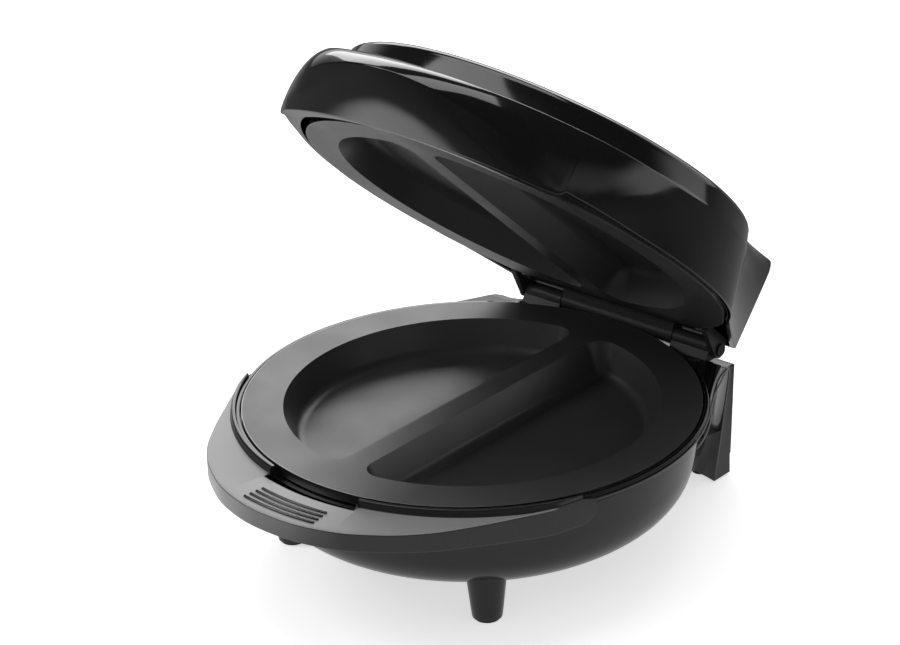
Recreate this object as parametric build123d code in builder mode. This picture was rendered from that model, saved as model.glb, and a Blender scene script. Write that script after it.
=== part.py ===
from build123d import *
from math import asin, cos, degrees, radians, sin, sqrt
import os

# Electric omelette maker with two D-shaped pockets, modelled with its lid standing open.
# Millimetres, +Z up, the worktop is Z = 0, and the hinge is at the rear (+Y).
# Heights in the sketches are counted from the parting face, the lower plate's top.
# Every lid piece is drawn closed, then swung open about the hinge as it is written.

os.makedirs("parts", exist_ok=True)

# --- driving dimensions -----------------------------------------------------------------
PARTING = 66.0          # height of the lower plate's top face above the worktop
PLATE_Y = -6.0          # centre of the plates, so that the open object is centred front to back
OPEN_ANGLE = 42.3       # how far the lid stands open
WALL = 2.5              # moulded wall thickness

HINGE_BACK = 110.2      # hinge axis behind the plates' centre
HINGE_DROP = 0.8        # hinge axis below the parting face
PIN_RADIUS = 2.0
PIN_FIT = 0.05          # radial running clearance on the hinge pin
BARREL_RADIUS = 4.2
BARREL_HALF = 33.1      # half length of the lid's middle barrel
KNUCKLE_START = 33.7    # the base's two knuckles, outside the barrel
KNUCKLE_END = 55.3
ARM_START = 55.7        # the lid's two end arms, outside the knuckles
ARM_END = 58.7
HINGE_ZONE = 60.8       # half width of the lowered deck round the hinge

PLATE_RADIUS = 105.0
UPPER_PLATE_RADIUS = 104.0
UPPER_PLATE_SHIFT = 3.0     # the round edge of the upper plate sits this far back
UPPER_PLATE_FACE = 2.0      # the upper plate's cooking face, with the lid shut
UPPER_PLATE_REAR = 93.0     # its rear edge is straight, in front of the hinge bracket
PLATE_RIM = 4.5         # thickness of the plates' rims
POCKET_RADIUS = 86.0    # round side of each D-shaped pocket
RIDGE_HALF = 6.0        # half width of the ridge between the two pockets
POCKET_DEPTH = 15.0
POCKET_DRAFT = 22.0     # slope of the pocket walls
POCKET_CORNER = 9.0
POCKET_FLOOR_FILLET = 5.0
PLATE_WALL = 2.6        # thickness of the casting round the pockets

RIM_RADIUS = 108.5      # moulded rim of the base
RIM_TOP = -2.35         # its top
RIM_DEPTH = 4.2
SEAT_RADIUS = 105.8     # opening in the rim that the lower plate drops into

LID_RIM_RADIUS = 108.0
LID_RIM = 3.0           # height of the lid's lower edge when it is shut
LID_TOP = 46.0          # top of the lid at its front
LID_TOP_RISE = 0.01165  # and its slope up towards the hinge
REAR_CORNER = (62.7, 116.5)     # rear corners of the base and of the lid

HINGE = Axis((0, PLATE_Y + HINGE_BACK, PARTING - HINGE_DROP), (1, 0, 0))
PLATE_AXIS = Axis((0, PLATE_Y, 0), (0, 0, 1))
SIDES = (-1, 1)


def level(height, back=0.0):
    """Horizontal plane at this height from the parting face, centred on the plates."""
    return Plane((0, PLATE_Y + back, PARTING + height))


def upright(back=0.0):
    """Plane facing the front: its X is across, its Y is height from the parting face."""
    return Plane((0, PLATE_Y + back, PARTING), x_dir=(1, 0, 0), z_dir=(0, -1, 0))


def sideways(x):
    """Plane facing +X at this x: its X is towards the rear, its Y is height from the parting face."""
    return Plane((x, PLATE_Y, PARTING), x_dir=(0, 1, 0), z_dir=(1, 0, 0))


def radial(angle):
    """Upright plane through the plates' centre: its X is outwards at this angle from the front."""
    out = (sin(radians(angle)), -cos(radians(angle)), 0)
    return Plane((0, PLATE_Y, PARTING), x_dir=out, z_dir=(out[1], -out[0], 0))


def polar(radius, angle):
    """Point at this radius, with the angle counted from the front centre towards +X."""
    return (radius * sin(radians(angle)), -radius * cos(radians(angle)))


def mirrored(points):
    """The same points on the other side of the centre line, in reverse order."""
    return [(-x, y) for x, y in reversed(points)]


def opened(piece):
    """A lid piece, drawn closed, swung up about the hinge to where the lid stands."""
    return piece.rotate(HINGE, -OPEN_ANGLE)


def flared_face(radius, leave, inset=0.0, mode=Mode.ADD):
    """Round up to the leave angle, then turned back on both sides to straight flanks and a straight rear."""
    start = polar(radius, leave)
    waist = (start[0] + 7 * cos(radians(leave)), start[1] + 7 * sin(radians(leave)))
    corner = (REAR_CORNER[0] - inset, REAR_CORNER[1] - inset)
    strip = (corner[0], corner[1] - 1)
    with BuildLine() as outline:
        ThreePointArc((-start[0], start[1]), (0, -radius), start)
        Bezier(start, waist, strip)
        Polyline(strip, corner, (-corner[0], corner[1]), (-strip[0], strip[1]))
        Bezier((-strip[0], strip[1]), (-waist[0], waist[1]), (-start[0], start[1]))
    make_face(outline.edges(), mode=mode)


def d_face(radius, ridge, corner, side):
    """One D-shaped face: straight along the centre ridge, round on the outside."""
    tilt = degrees(asin(ridge / radius))
    reach = sqrt(radius**2 - ridge**2)
    with BuildSketch(mode=Mode.PRIVATE) as d:
        with BuildLine() as outline:
            CenterArc((0, 0), radius, tilt - 90, 180 - 2 * tilt)
            Line((ridge, reach), (ridge, -reach))
        make_face(outline.edges())
        fillet(d.vertices(), corner)
    add(d.sketch if side > 0 else d.sketch.mirror(Plane.YZ))


# --- base housing -----------------------------------------------------------------------
# Moulded bowl with a rim round the plate, two front legs, and a rear block that carries
# the hinge, stands on the worktop and closes the back.
BOWL_WALL = ((103.8, -4.5), (103.0, -18), (101.4, -28), (97.8, -37), (90.0, -45.0), (79.0, -50.2))
BOWL_FLOOR = -52.0
BOWL_FLOOR_RADIUS = 68.0
LEDGE_RADIUS = 107.4    # thin raised ring round the plate
LEDGE_TOP = -0.6
DECK = -6.4             # deck that the hinge bracket is screwed to
DECK_FRONT = 94.0
DECK_CUT = ((94, 8), (94, DECK), (104.5, DECK), (108, -8.9), (119, -9.75), (119, 8))
TROUGH = ((99.5, 8), (99.5, RIM_TOP), (104, -5.1), (108, -8.1), (112, -8.9), (119, -9.75), (119, 8))
BLOCK_TOP = -9.4
HOUSING_BOTTOM = -65.0
SHOULDER_LEAVE = 127.0  # angle where the rim leaves its circle for the rear corners
SHOULDER_WAIST = (74.0, 84.0)
FOOT_DEPTH = 12.5       # solid part of the rear feet
ARCH_HALF = 36.0        # half width of the cut-out between the two rear feet
ARCH_HEIGHT = 10.0
LEG_PLACE = (58.2, -61.3)
LEG_FOOT_RADIUS = 6.9
PAD_THICKNESS = 1.6
PAD_SINK = 0.6          # the pads sit this deep in the feet
FRONT_PAD_RADIUS = 5.6
REAR_PAD_RADIUS = 4.2
REAR_PAD_PLACE = (50.0, 107.6)
NOTCH_ANGLE = 13.5      # finger notch at the front
NOTCH_RADIUS = 113.5
NOTCH_FLOOR = -5.2
GLAND_HEIGHT = -38.0
GLAND_HOLE = 5.5
BRACKET_SCREW = (52.3, 98.6)
BRACKET_SCREWS = (BRACKET_SCREW, (-BRACKET_SCREW[0], BRACKET_SCREW[1]))
BRACKET_TOP = 5.5       # top of the lid's hinge bracket
BOSS_RADIUS = 4.2
TIE_PLACES = ((0, -62), (0, 66))    # screws that tie each plate to its housing
TIE_POST_RADIUS = 6.0
TIE_BOSS = 24.4         # depth of the plates' screw bosses below the cooking face
TIE_POST_GAP = 0.1
PAD_PLACES = {
    "front_left_pad": (-LEG_PLACE[0], LEG_PLACE[1], FRONT_PAD_RADIUS),
    "front_right_pad": (LEG_PLACE[0], LEG_PLACE[1], FRONT_PAD_RADIUS),
    "rear_left_pad": (-REAR_PAD_PLACE[0], REAR_PAD_PLACE[1], REAR_PAD_RADIUS),
    "rear_right_pad": (REAR_PAD_PLACE[0], REAR_PAD_PLACE[1], REAR_PAD_RADIUS),
}


def bowl_section(inset, top):
    """Half section of the bowl, drawn in by inset, up to this height."""
    wall = [(r - inset, z + (inset * 0.7 if z < -35 else 0)) for r, z in BOWL_WALL]
    rim_of_floor = (BOWL_FLOOR_RADIUS - inset, BOWL_FLOOR + inset)
    with BuildLine() as outline:
        Polyline(rim_of_floor, (0, BOWL_FLOOR + inset), (0, top), (wall[0][0], top), wall[0])
        Spline(*wall, rim_of_floor, tangents=((-0.05, -1), (-1, -0.08)))
    make_face(outline.edges())


def block_ring(height, strip, corner, start, waist):
    """Outline of the rear block at this height: front line, swept sides, side strips, rear face."""
    right = []
    for step in range(9):
        t = step / 8
        x = (1 - t) ** 2 * start[0] + 2 * t * (1 - t) * waist[0] + t**2 * strip[0]
        y = (1 - t) ** 2 * start[1] + 2 * t * (1 - t) * waist[1] + t**2 * strip[1]
        right.append((x, y))
    right.append(corner)
    return [Vector(x, PLATE_Y + y, PARTING + height) for x, y in right + mirrored(right)]


def skin(rings):
    """Solid through closed rings of points, all with the same number of points."""
    faces = [Face(Wire.make_polygon(ring)) for ring in (rings[0], rings[-1])]
    for low, high in zip(rings, rings[1:]):
        for here in range(len(low)):
            after = (here + 1) % len(low)
            faces.append(Face(Wire.make_polygon([low[here], low[after], high[after]])))
            faces.append(Face(Wire.make_polygon([low[here], high[after], high[here]])))
    return Solid(Shell(faces))


BLOCK_TOP_SHAPE = ((62.7, 113), REAR_CORNER, polar(RIM_RADIUS, SHOULDER_LEAVE), SHOULDER_WAIST)
rear_block = skin([
    block_ring(HOUSING_BOTTOM, (62.7, 100.9), (62.7, 113.4), (40, 104), (52, 104.2)),
    block_ring(-40, (62.7, 106.3), (62.7, 114.8), (60, 90), (62, 101)),
    block_ring(BLOCK_TOP, *BLOCK_TOP_SHAPE),
    block_ring(RIM_TOP, *BLOCK_TOP_SHAPE),
])
block_inside = skin([
    block_ring(HOUSING_BOTTOM + FOOT_DEPTH, (59.6, 106.5), (59.6, 111.4), (46, 102), (53, 104)),
    block_ring(-38, (59.8, 107.5), (59.8, 112.2), (58, 91), (59, 102)),
    block_ring(DECK - 4.5, (60, 111), (60, 113.6), (80, 66), (70.5, 84)),
])


with BuildPart() as bowl_outside:
    with BuildSketch(upright()):
        bowl_section(0, -4.2)
    revolve(axis=PLATE_AXIS)

with BuildPart() as bowl_inside:
    with BuildSketch(upright()):
        bowl_section(WALL, 5)
    revolve(axis=PLATE_AXIS)

with BuildPart() as lower_housing:
    add(bowl_outside.part)
    with BuildSketch(level(RIM_TOP - RIM_DEPTH)):
        Circle(RIM_RADIUS)
    extrude(amount=RIM_DEPTH)
    with BuildSketch(level(RIM_TOP - 1)):
        Circle(LEDGE_RADIUS)
    extrude(amount=LEDGE_TOP - RIM_TOP + 1)
    # rear block: as wide as the rim at its top, and a shallow foot on the worktop
    add(rear_block)
    # front legs, which stand under the bowl
    with BuildSketch(level(HOUSING_BOTTOM)):
        with Locations(LEG_PLACE, (-LEG_PLACE[0], LEG_PLACE[1])):
            Circle(LEG_FOOT_RADIUS)
    extrude(amount=29, taper=-6.0)
    # hollows
    add(bowl_inside.part, mode=Mode.SUBTRACT)
    add(block_inside, mode=Mode.SUBTRACT)
    with BuildSketch(level(-PLATE_RIM)):
        Circle(SEAT_RADIUS)
    extrude(amount=12, mode=Mode.SUBTRACT)
    # deck under the hinge
    with BuildSketch(level(-12)):
        with Locations((0, 105)):
            Rectangle(2 * HINGE_ZONE, 20)
    extrude(amount=12 + DECK)
    with BuildSketch(sideways(-HINGE_ZONE)):
        with BuildLine():
            Polyline(*DECK_CUT, close=True)
        make_face()
    extrude(amount=2 * HINGE_ZONE, mode=Mode.SUBTRACT)
    # troughs at the rear corners, where the lid's corners swing down
    for side in SIDES:
        with BuildSketch(sideways(side * HINGE_ZONE)):
            with BuildLine():
                Polyline(*TROUGH, close=True)
            make_face()
        extrude(amount=side * 12, mode=Mode.SUBTRACT)
    # arch between the rear feet, finger notch and cord hole
    with BuildSketch(upright(125)):
        with Locations((0, HOUSING_BOTTOM)):
            Rectangle(2 * ARCH_HALF, 2 * ARCH_HEIGHT)
    extrude(amount=40, mode=Mode.SUBTRACT)
    with BuildSketch(level(NOTCH_FLOOR)):
        with BuildLine():
            Polyline((0, 0), polar(125, -NOTCH_ANGLE), polar(125, NOTCH_ANGLE), close=True)
        make_face()
        Circle(SEAT_RADIUS - 2, mode=Mode.SUBTRACT)
    extrude(amount=8, mode=Mode.SUBTRACT)
    with BuildSketch(upright(125)):
        with Locations((0, GLAND_HEIGHT)):
            Circle(GLAND_HOLE)
    extrude(amount=16, mode=Mode.SUBTRACT)
    # bosses for the hinge bracket's screws
    with BuildSketch(level(DECK - 12)):
        with Locations(*BRACKET_SCREWS):
            Circle(BOSS_RADIUS)
    extrude(amount=10)
    with BuildSketch(level(DECK - 10)):
        with Locations(*BRACKET_SCREWS):
            Circle(1.55)
    extrude(amount=20, mode=Mode.SUBTRACT)
    # posts for the screws that tie the plate down, open below
    with BuildSketch(level(BOWL_FLOOR + 1)):
        with Locations(*TIE_PLACES):
            Circle(TIE_POST_RADIUS)
    extrude(amount=-TIE_BOSS - TIE_POST_GAP - BOWL_FLOOR - 1)
    with BuildSketch(level(BOWL_FLOOR - 2)):
        with Locations(*TIE_PLACES):
            Circle(4.2)
    extrude(amount=22, mode=Mode.SUBTRACT)
    with BuildSketch(level(BOWL_FLOOR - 2)):
        with Locations(*TIE_PLACES):
            Circle(2.2)
    extrude(amount=40, mode=Mode.SUBTRACT)
    # recesses for the foot pads
    for x, y, radius in PAD_PLACES.values():
        with BuildSketch(level(HOUSING_BOTTOM)):
            with Locations((x, y)):
                Circle(radius + 0.15)
        extrude(amount=PAD_SINK, mode=Mode.SUBTRACT)
lower_housing.part.label = "lower_housing"
export_step(lower_housing.part, "parts/lower_housing.step")

# Rubber pads under the two legs and the two rear feet.
for name, (x, y, radius) in PAD_PLACES.items():
    with BuildPart() as pad:
        with BuildSketch(Plane.XY):
            with Locations((x, PLATE_Y + y)):
                Circle(radius)
        extrude(amount=PAD_THICKNESS)
    pad.part.label = name
    export_step(pad.part, f"parts/{name}.step")

# --- front handle -----------------------------------------------------------------------
# Crescent-shaped grip, moulded on its own, that hooks over the front of the rim.
HANDLE_EDGE = (
    (28, -131.6), (47.8, -121.4), (64.4, -107.1), (76.8, -89.6), (85.6, -74.4), (93.0, -60.4), (100.5, -44.7),
    (103.2, -37.6)
)
HANDLE_NOSE = (0, -136)
HANDLE_BOTTOM = -11.6
HANDLE_END = -46.0      # the crescent's thin tips stop here
HANDLE_INNER = 108.8    # round the rim
HANDLE_HOOK = 105.3     # and in under it
LIP_INNER = 107.7       # the standing lip reaches in over the rim
LIP_OUTER = 109.5
LIP_TOP = 0.2
RIB_RADII = (120.8, 124.1, 127.4, 130.7)
RIB_ANGLE = 8.9


def crescent_face(inner):
    """Plan of the front handle between this radius and its outer edge."""
    with BuildLine() as outline:
        Spline(*mirrored(HANDLE_EDGE), HANDLE_NOSE, *HANDLE_EDGE)
        Line(HANDLE_EDGE[-1], (-HANDLE_EDGE[-1][0], HANDLE_EDGE[-1][1]))
    make_face(outline.edges())
    Circle(inner, mode=Mode.SUBTRACT)
    with Locations((0, HANDLE_END)):
        Rectangle(240, 30, align=(Align.CENTER, Align.MIN), mode=Mode.SUBTRACT)


with BuildPart() as front_handle:
    with BuildSketch(level(HANDLE_BOTTOM)):
        crescent_face(HANDLE_INNER)
    extrude(amount=RIM_TOP - HANDLE_BOTTOM)
    with BuildSketch(level(HANDLE_BOTTOM)):
        crescent_face(HANDLE_HOOK)
    extrude(amount=RIM_TOP - RIM_DEPTH - 0.3 - HANDLE_BOTTOM)
    with BuildSketch(level(NOTCH_FLOOR)):
        with BuildLine():
            Polyline((0, 0), polar(125, -NOTCH_ANGLE), polar(125, NOTCH_ANGLE), close=True)
        make_face()
        Circle(NOTCH_RADIUS, mode=Mode.INTERSECT)
    extrude(amount=8, mode=Mode.SUBTRACT)
    for rib in RIB_RADII:
        with BuildSketch(level(RIM_TOP)):
            with BuildLine():
                Polyline((0, 0), polar(160, -RIB_ANGLE), polar(160, RIB_ANGLE), close=True)
            make_face()
            Circle(rib + 0.6, mode=Mode.INTERSECT)
            Circle(rib - 0.6, mode=Mode.SUBTRACT)
        extrude(amount=0.6)
    # lip round the plate on both sides of the notch
    for low, inner in ((RIM_TOP - 0.6, HANDLE_INNER), (RIM_TOP + 0.1, LIP_INNER)):
        with BuildSketch(level(low)):
            crescent_face(inner)
            Circle(LIP_OUTER, mode=Mode.INTERSECT)
            with BuildLine():
                Polyline((0, 0), polar(160, -NOTCH_ANGLE), polar(160, NOTCH_ANGLE), close=True)
            make_face(mode=Mode.SUBTRACT)
        extrude(amount=LIP_TOP - low)
front_handle.part.label = "front_handle"
export_step(front_handle.part, "parts/front_handle.step")

# --- lower plate ------------------------------------------------------------------------
# Cast aluminium with two D-shaped pockets. The pockets and their casings are built once
# and serve the upper plate as well.
CLAMP_PLACES = ((0, -30), (0, 35))
THERMOSTAT_PLACE = (0, 6)
THERMOSTAT_SCREWS = ((0, -8), (0, 20))
THERMOSTAT_BOSS = 18.0
CASING_DEPTH = POCKET_DEPTH + PLATE_WALL
ELEMENT_RADIUS = 3.3
ELEMENT_HEIGHT = -CASING_DEPTH - 0.05 - ELEMENT_RADIUS
CLAMP_TOP = ELEMENT_HEIGHT - ELEMENT_RADIUS - 0.05
PLATE_BOSS_RADIUS = 5.0

with BuildPart() as pocket:
    with BuildSketch(level(0)):
        d_face(POCKET_RADIUS, RIDGE_HALF, POCKET_CORNER, 1)
    extrude(amount=-POCKET_DEPTH, taper=POCKET_DRAFT)
    fillet(pocket.faces().sort_by(Axis.Z)[0].edges(), POCKET_FLOOR_FILLET)

with BuildPart() as casing:
    with BuildSketch(level(0)):
        d_face(POCKET_RADIUS + PLATE_WALL, RIDGE_HALF - PLATE_WALL, POCKET_CORNER + PLATE_WALL, 1)
    extrude(amount=-CASING_DEPTH, taper=POCKET_DRAFT)
    fillet(casing.faces().sort_by(Axis.Z)[0].edges(), POCKET_FLOOR_FILLET + 1.5)
with BuildPart() as lower_plate:
    with BuildSketch(level(-PLATE_RIM)):
        Circle(PLATE_RADIUS)
    extrude(amount=PLATE_RIM)
    add(casing.part)
    add(casing.part.mirror(Plane.YZ))
    with BuildSketch(level(-2)):
        with Locations(*CLAMP_PLACES):
            Circle(PLATE_BOSS_RADIUS)
    extrude(amount=CLAMP_TOP + 2)
    with BuildSketch(level(-2)):
        with Locations(*THERMOSTAT_SCREWS):
            Circle(PLATE_BOSS_RADIUS - 1)
    extrude(amount=2 - THERMOSTAT_BOSS)
    with BuildSketch(level(-2)):
        with Locations(*TIE_PLACES):
            Circle(PLATE_BOSS_RADIUS)
    extrude(amount=2 - TIE_BOSS)
    add(pocket.part, mode=Mode.SUBTRACT)
    add(pocket.part.mirror(Plane.YZ), mode=Mode.SUBTRACT)
    with BuildSketch(level(-CASING_DEPTH - 12)):
        with Locations(*CLAMP_PLACES, *THERMOSTAT_SCREWS, *TIE_PLACES):
            Circle(1.55)
    extrude(amount=20, mode=Mode.SUBTRACT)
lower_plate.part.label = "lower_plate"
export_step(lower_plate.part, "parts/lower_plate.step")

# --- heating, lower half ----------------------------------------------------------------
# Tubular element bent into a U under both pockets, held up by two clamp bars.
ELEMENT_BEND = 49.0
ELEMENT_END = 66.0
TERMINAL_PIN = 1.3
TERMINAL_LENGTH = 7.0
CLAMP_SIZE = (112, 12, 1.2)

with BuildPart() as lower_element:
    with BuildLine(level(ELEMENT_HEIGHT)):
        Line((-ELEMENT_BEND, ELEMENT_END), (-ELEMENT_BEND, 0))
        CenterArc((0, 0), ELEMENT_BEND, 180, 180)
        Line((ELEMENT_BEND, 0), (ELEMENT_BEND, ELEMENT_END))
    with BuildSketch(upright(ELEMENT_END)):
        with Locations((-ELEMENT_BEND, ELEMENT_HEIGHT)):
            Circle(ELEMENT_RADIUS)
    sweep()
    with BuildSketch(upright(ELEMENT_END)):
        with Locations((-ELEMENT_BEND, ELEMENT_HEIGHT), (ELEMENT_BEND, ELEMENT_HEIGHT)):
            Circle(TERMINAL_PIN)
    extrude(amount=-TERMINAL_LENGTH)
lower_element.part.label = "lower_element"
export_step(lower_element.part, "parts/lower_element.step")

with BuildPart() as lower_clamps:
    with BuildSketch(level(CLAMP_TOP - CLAMP_SIZE[2])):
        with Locations(*CLAMP_PLACES):
            RectangleRounded(CLAMP_SIZE[0], CLAMP_SIZE[1], 3)
            Circle(2.2, mode=Mode.SUBTRACT)
    extrude(amount=CLAMP_SIZE[2])
lower_clamps.part.label = "lower_clamps"
export_step(lower_clamps.part, "parts/lower_clamps.step")

# Thin bright dish that throws the heat back at the plate, open at the rear for the leads.
REFLECTOR_THICKNESS = 0.8
REFLECTOR_TOP = CLAMP_TOP - CLAMP_SIZE[2] - 0.05
REFLECTOR_FLAT = 84.0
REFLECTOR_EDGE = (97.5, -8.5)
REFLECTOR_GATE = (116, 62)      # width of the rear opening and where it starts

with BuildPart() as lower_reflector:
    with BuildSketch(upright()):
        with BuildLine():
            Polyline(
                (0, REFLECTOR_TOP),
                (REFLECTOR_FLAT, REFLECTOR_TOP),
                REFLECTOR_EDGE,
                (REFLECTOR_EDGE[0] + REFLECTOR_THICKNESS, REFLECTOR_EDGE[1]),
                (REFLECTOR_FLAT + 0.4, REFLECTOR_TOP - REFLECTOR_THICKNESS),
                (0, REFLECTOR_TOP - REFLECTOR_THICKNESS),
                close=True,
            )
        make_face()
    revolve(axis=PLATE_AXIS)
    with BuildSketch(level(REFLECTOR_TOP - 3)):
        with Locations((0, REFLECTOR_GATE[1])):
            Rectangle(REFLECTOR_GATE[0], 60, align=(Align.CENTER, Align.MIN))
        with Locations(*CLAMP_PLACES):
            Circle(2.2)
        with Locations(*TIE_PLACES):
            Circle(TIE_POST_RADIUS + 0.6)
        with Locations(THERMOSTAT_PLACE):
            Circle(9.5)
    extrude(amount=30, mode=Mode.SUBTRACT)
lower_reflector.part.label = "lower_reflector"
export_step(lower_reflector.part, "parts/lower_reflector.step")


def screws(places, seat, length, shank=1.45, head=2.9, head_height=1.9, up=1):
    """Pan-head screws whose heads press against this height, with their shanks going up or down."""
    with BuildPart() as lot:
        with BuildSketch(level(seat)):
            with Locations(*places):
                Circle(head)
        extrude(amount=-up * head_height)
        fillet(lot.edges().filter_by(GeomType.CIRCLE).group_by(Axis.Z)[0 if up > 0 else -1], 0.7)
        with BuildSketch(level(seat)):
            with Locations(*places):
                Circle(shank)
        extrude(amount=up * length)
        with BuildSketch(level(seat - up * head_height)):
            with Locations(*places):
                Rectangle(3.2, 0.7)
                Rectangle(0.7, 3.2)
        extrude(amount=up * 1.1, mode=Mode.SUBTRACT)
    return lot.part


REFLECTOR_BOTTOM = REFLECTOR_TOP - REFLECTOR_THICKNESS
lower_clamp_screws = screws(CLAMP_PLACES, REFLECTOR_BOTTOM - 0.02, 9)
lower_clamp_screws.label = "lower_clamp_screws"
export_step(lower_clamp_screws, "parts/lower_clamp_screws.step")

TIE_SCREW_SEAT = BOWL_FLOOR + 20 - 0.02
lower_tie_screws = screws(TIE_PLACES, TIE_SCREW_SEAT, 14, head=3.4, head_height=2.4)
lower_tie_screws.label = "lower_tie_screws"
export_step(lower_tie_screws, "parts/lower_tie_screws.step")

# Bimetal thermostat screwed against the plate between the pockets.
with BuildPart() as thermostat:
    with BuildSketch(level(-THERMOSTAT_BOSS - 1.05)):
        with Locations(THERMOSTAT_PLACE):
            RectangleRounded(9, 37, 3)
        with Locations(*THERMOSTAT_SCREWS):
            Circle(1.8, mode=Mode.SUBTRACT)
    extrude(amount=1)
    with BuildSketch(level(-THERMOSTAT_BOSS - 1.05)):
        with Locations(THERMOSTAT_PLACE):
            Circle(8)
    extrude(amount=-9.5)
    with BuildSketch(level(-THERMOSTAT_BOSS - 10)):
        with Locations((THERMOSTAT_PLACE[0], THERMOSTAT_PLACE[1] - 4), (THERMOSTAT_PLACE[0], THERMOSTAT_PLACE[1] + 4)):
            Rectangle(6.3, 0.8)
    extrude(amount=-8)
thermostat.part.label = "thermostat"
export_step(thermostat.part, "parts/thermostat.step")

thermostat_screws = screws(THERMOSTAT_SCREWS, -THERMOSTAT_BOSS - 1.07, 5)
thermostat_screws.label = "thermostat_screws"
export_step(thermostat_screws, "parts/thermostat_screws.step")

# Thermal cut-out in a sleeve, strapped under the reflector.
FUSE_PLACE = (-34, 8)
FUSE_HEIGHT = REFLECTOR_BOTTOM - 0.05 - 2.3

with BuildPart() as thermal_fuse:
    with BuildSketch(upright(FUSE_PLACE[1] + 12)):
        with Locations((FUSE_PLACE[0], FUSE_HEIGHT)):
            Circle(2.3)
    extrude(amount=24)
    with BuildSketch(upright(FUSE_PLACE[1] + 3)):
        with Locations((FUSE_PLACE[0], FUSE_HEIGHT)):
            Circle(2.9)
        with Locations((FUSE_PLACE[0], REFLECTOR_BOTTOM - 0.05)):
            Rectangle(16, 0.9, align=(Align.CENTER, Align.MAX))
        with Locations((FUSE_PLACE[0], REFLECTOR_BOTTOM - 0.05)):
            Rectangle(20, 10, align=(Align.CENTER, Align.MIN), mode=Mode.SUBTRACT)
    extrude(amount=6)
thermal_fuse.part.label = "thermal_fuse"
export_step(thermal_fuse.part, "parts/thermal_fuse.step")

# Ceramic terminal block on the floor of the bowl.
BLOCK_PLACE = (32, 38)
FLOOR_INSIDE = BOWL_FLOOR + WALL + 0.05

with BuildPart() as terminal_block:
    with BuildSketch(level(FLOOR_INSIDE)):
        with Locations(BLOCK_PLACE):
            Rectangle(30, 18)
    extrude(amount=12)
    with BuildSketch(level(FLOOR_INSIDE + 12)):
        with Locations(BLOCK_PLACE):
            with GridLocations(10, 9, 3, 2):
                Circle(2.6)
    extrude(amount=-4, mode=Mode.SUBTRACT)
    with BuildSketch(upright(BLOCK_PLACE[1] + 10)):
        with Locations((BLOCK_PLACE[0], FLOOR_INSIDE + 4)):
            with GridLocations(10, 1, 3, 1):
                Circle(1.7)
    extrude(amount=22, mode=Mode.SUBTRACT)
    for x in (-5, 5):
        with BuildSketch(level(FLOOR_INSIDE + 12)):
            with Locations((BLOCK_PLACE[0] + x, BLOCK_PLACE[1])):
                Rectangle(1, 18)
        extrude(amount=-2, mode=Mode.SUBTRACT)
terminal_block.part.label = "terminal_block"
export_step(terminal_block.part, "parts/terminal_block.step")

# Leads from the element's two ends down to the terminal block.
LEAD_RADIUS = 1.2
LEAD_START = ELEMENT_END + TERMINAL_LENGTH + 0.2
LEADS = (
    ((49, LEAD_START, ELEMENT_HEIGHT), (48.6, 77, -23.6), (46.5, 75, -32), (43, 63, -41), (42, 48, -45.4)),
    ((-49, LEAD_START, ELEMENT_HEIGHT), (-48, 78, -24), (-36, 80, -33), (-8, 78, -41), (8, 75.5, -43),
     (18, 62, -45), (22, 48, -45.4)),
)

with BuildPart() as element_leads:
    for points in LEADS:
        with BuildLine() as route:
            Spline(*[(x, PLATE_Y + y, PARTING + z) for x, y, z in points])
        with BuildSketch(Plane(route.line @ 0, z_dir=route.line % 0)):
            Circle(LEAD_RADIUS)
        sweep()
element_leads.part.label = "element_leads"
export_step(element_leads.part, "parts/element_leads.step")

# Grommet in the rear wall that the mains lead comes in through.
GLAND_BORE = 3.6
GLAND_PROUD = 1.9       # its flange clears the wall, which leans outwards going up
WALL_AT_GLAND = 113.4 + (REAR_CORNER[1] - 113.4) * (GLAND_HEIGHT - HOUSING_BOTTOM) / (BLOCK_TOP - HOUSING_BOTTOM)

with BuildPart() as cord_gland:
    with BuildSketch(upright(WALL_AT_GLAND + GLAND_PROUD)):
        with Locations((0, GLAND_HEIGHT)):
            Circle(GLAND_HOLE + 2.5)
    extrude(amount=1.4)
    with BuildSketch(upright(WALL_AT_GLAND + GLAND_PROUD)):
        with Locations((0, GLAND_HEIGHT)):
            Circle(GLAND_HOLE - 0.1)
    extrude(amount=GLAND_PROUD + 5.0)
    with BuildSketch(upright(WALL_AT_GLAND - 3.4)):
        with Locations((0, GLAND_HEIGHT)):
            Circle(GLAND_HOLE + 1.6)
    extrude(amount=1.6)
    with BuildSketch(upright(WALL_AT_GLAND + 4)):
        with Locations((0, GLAND_HEIGHT)):
            Circle(GLAND_BORE)
    extrude(amount=20, mode=Mode.SUBTRACT)
cord_gland.part.label = "cord_gland"
export_step(cord_gland.part, "parts/cord_gland.step")

# --- hinge, base side -------------------------------------------------------------------
# Two knuckles on feet screwed to the deck, and the steel pin through both halves.
FOOT_PLATE = (33.7, 58.0, 94.3, 104.5)
FOOT_PLATE_THICKNESS = 1.5
WEB = ((103.5, DECK), (110.7, DECK), (110.7, -HINGE_DROP), (106.4, -HINGE_DROP), (103.5, DECK + 1.5))
PIN_HALF = 59.7

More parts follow.
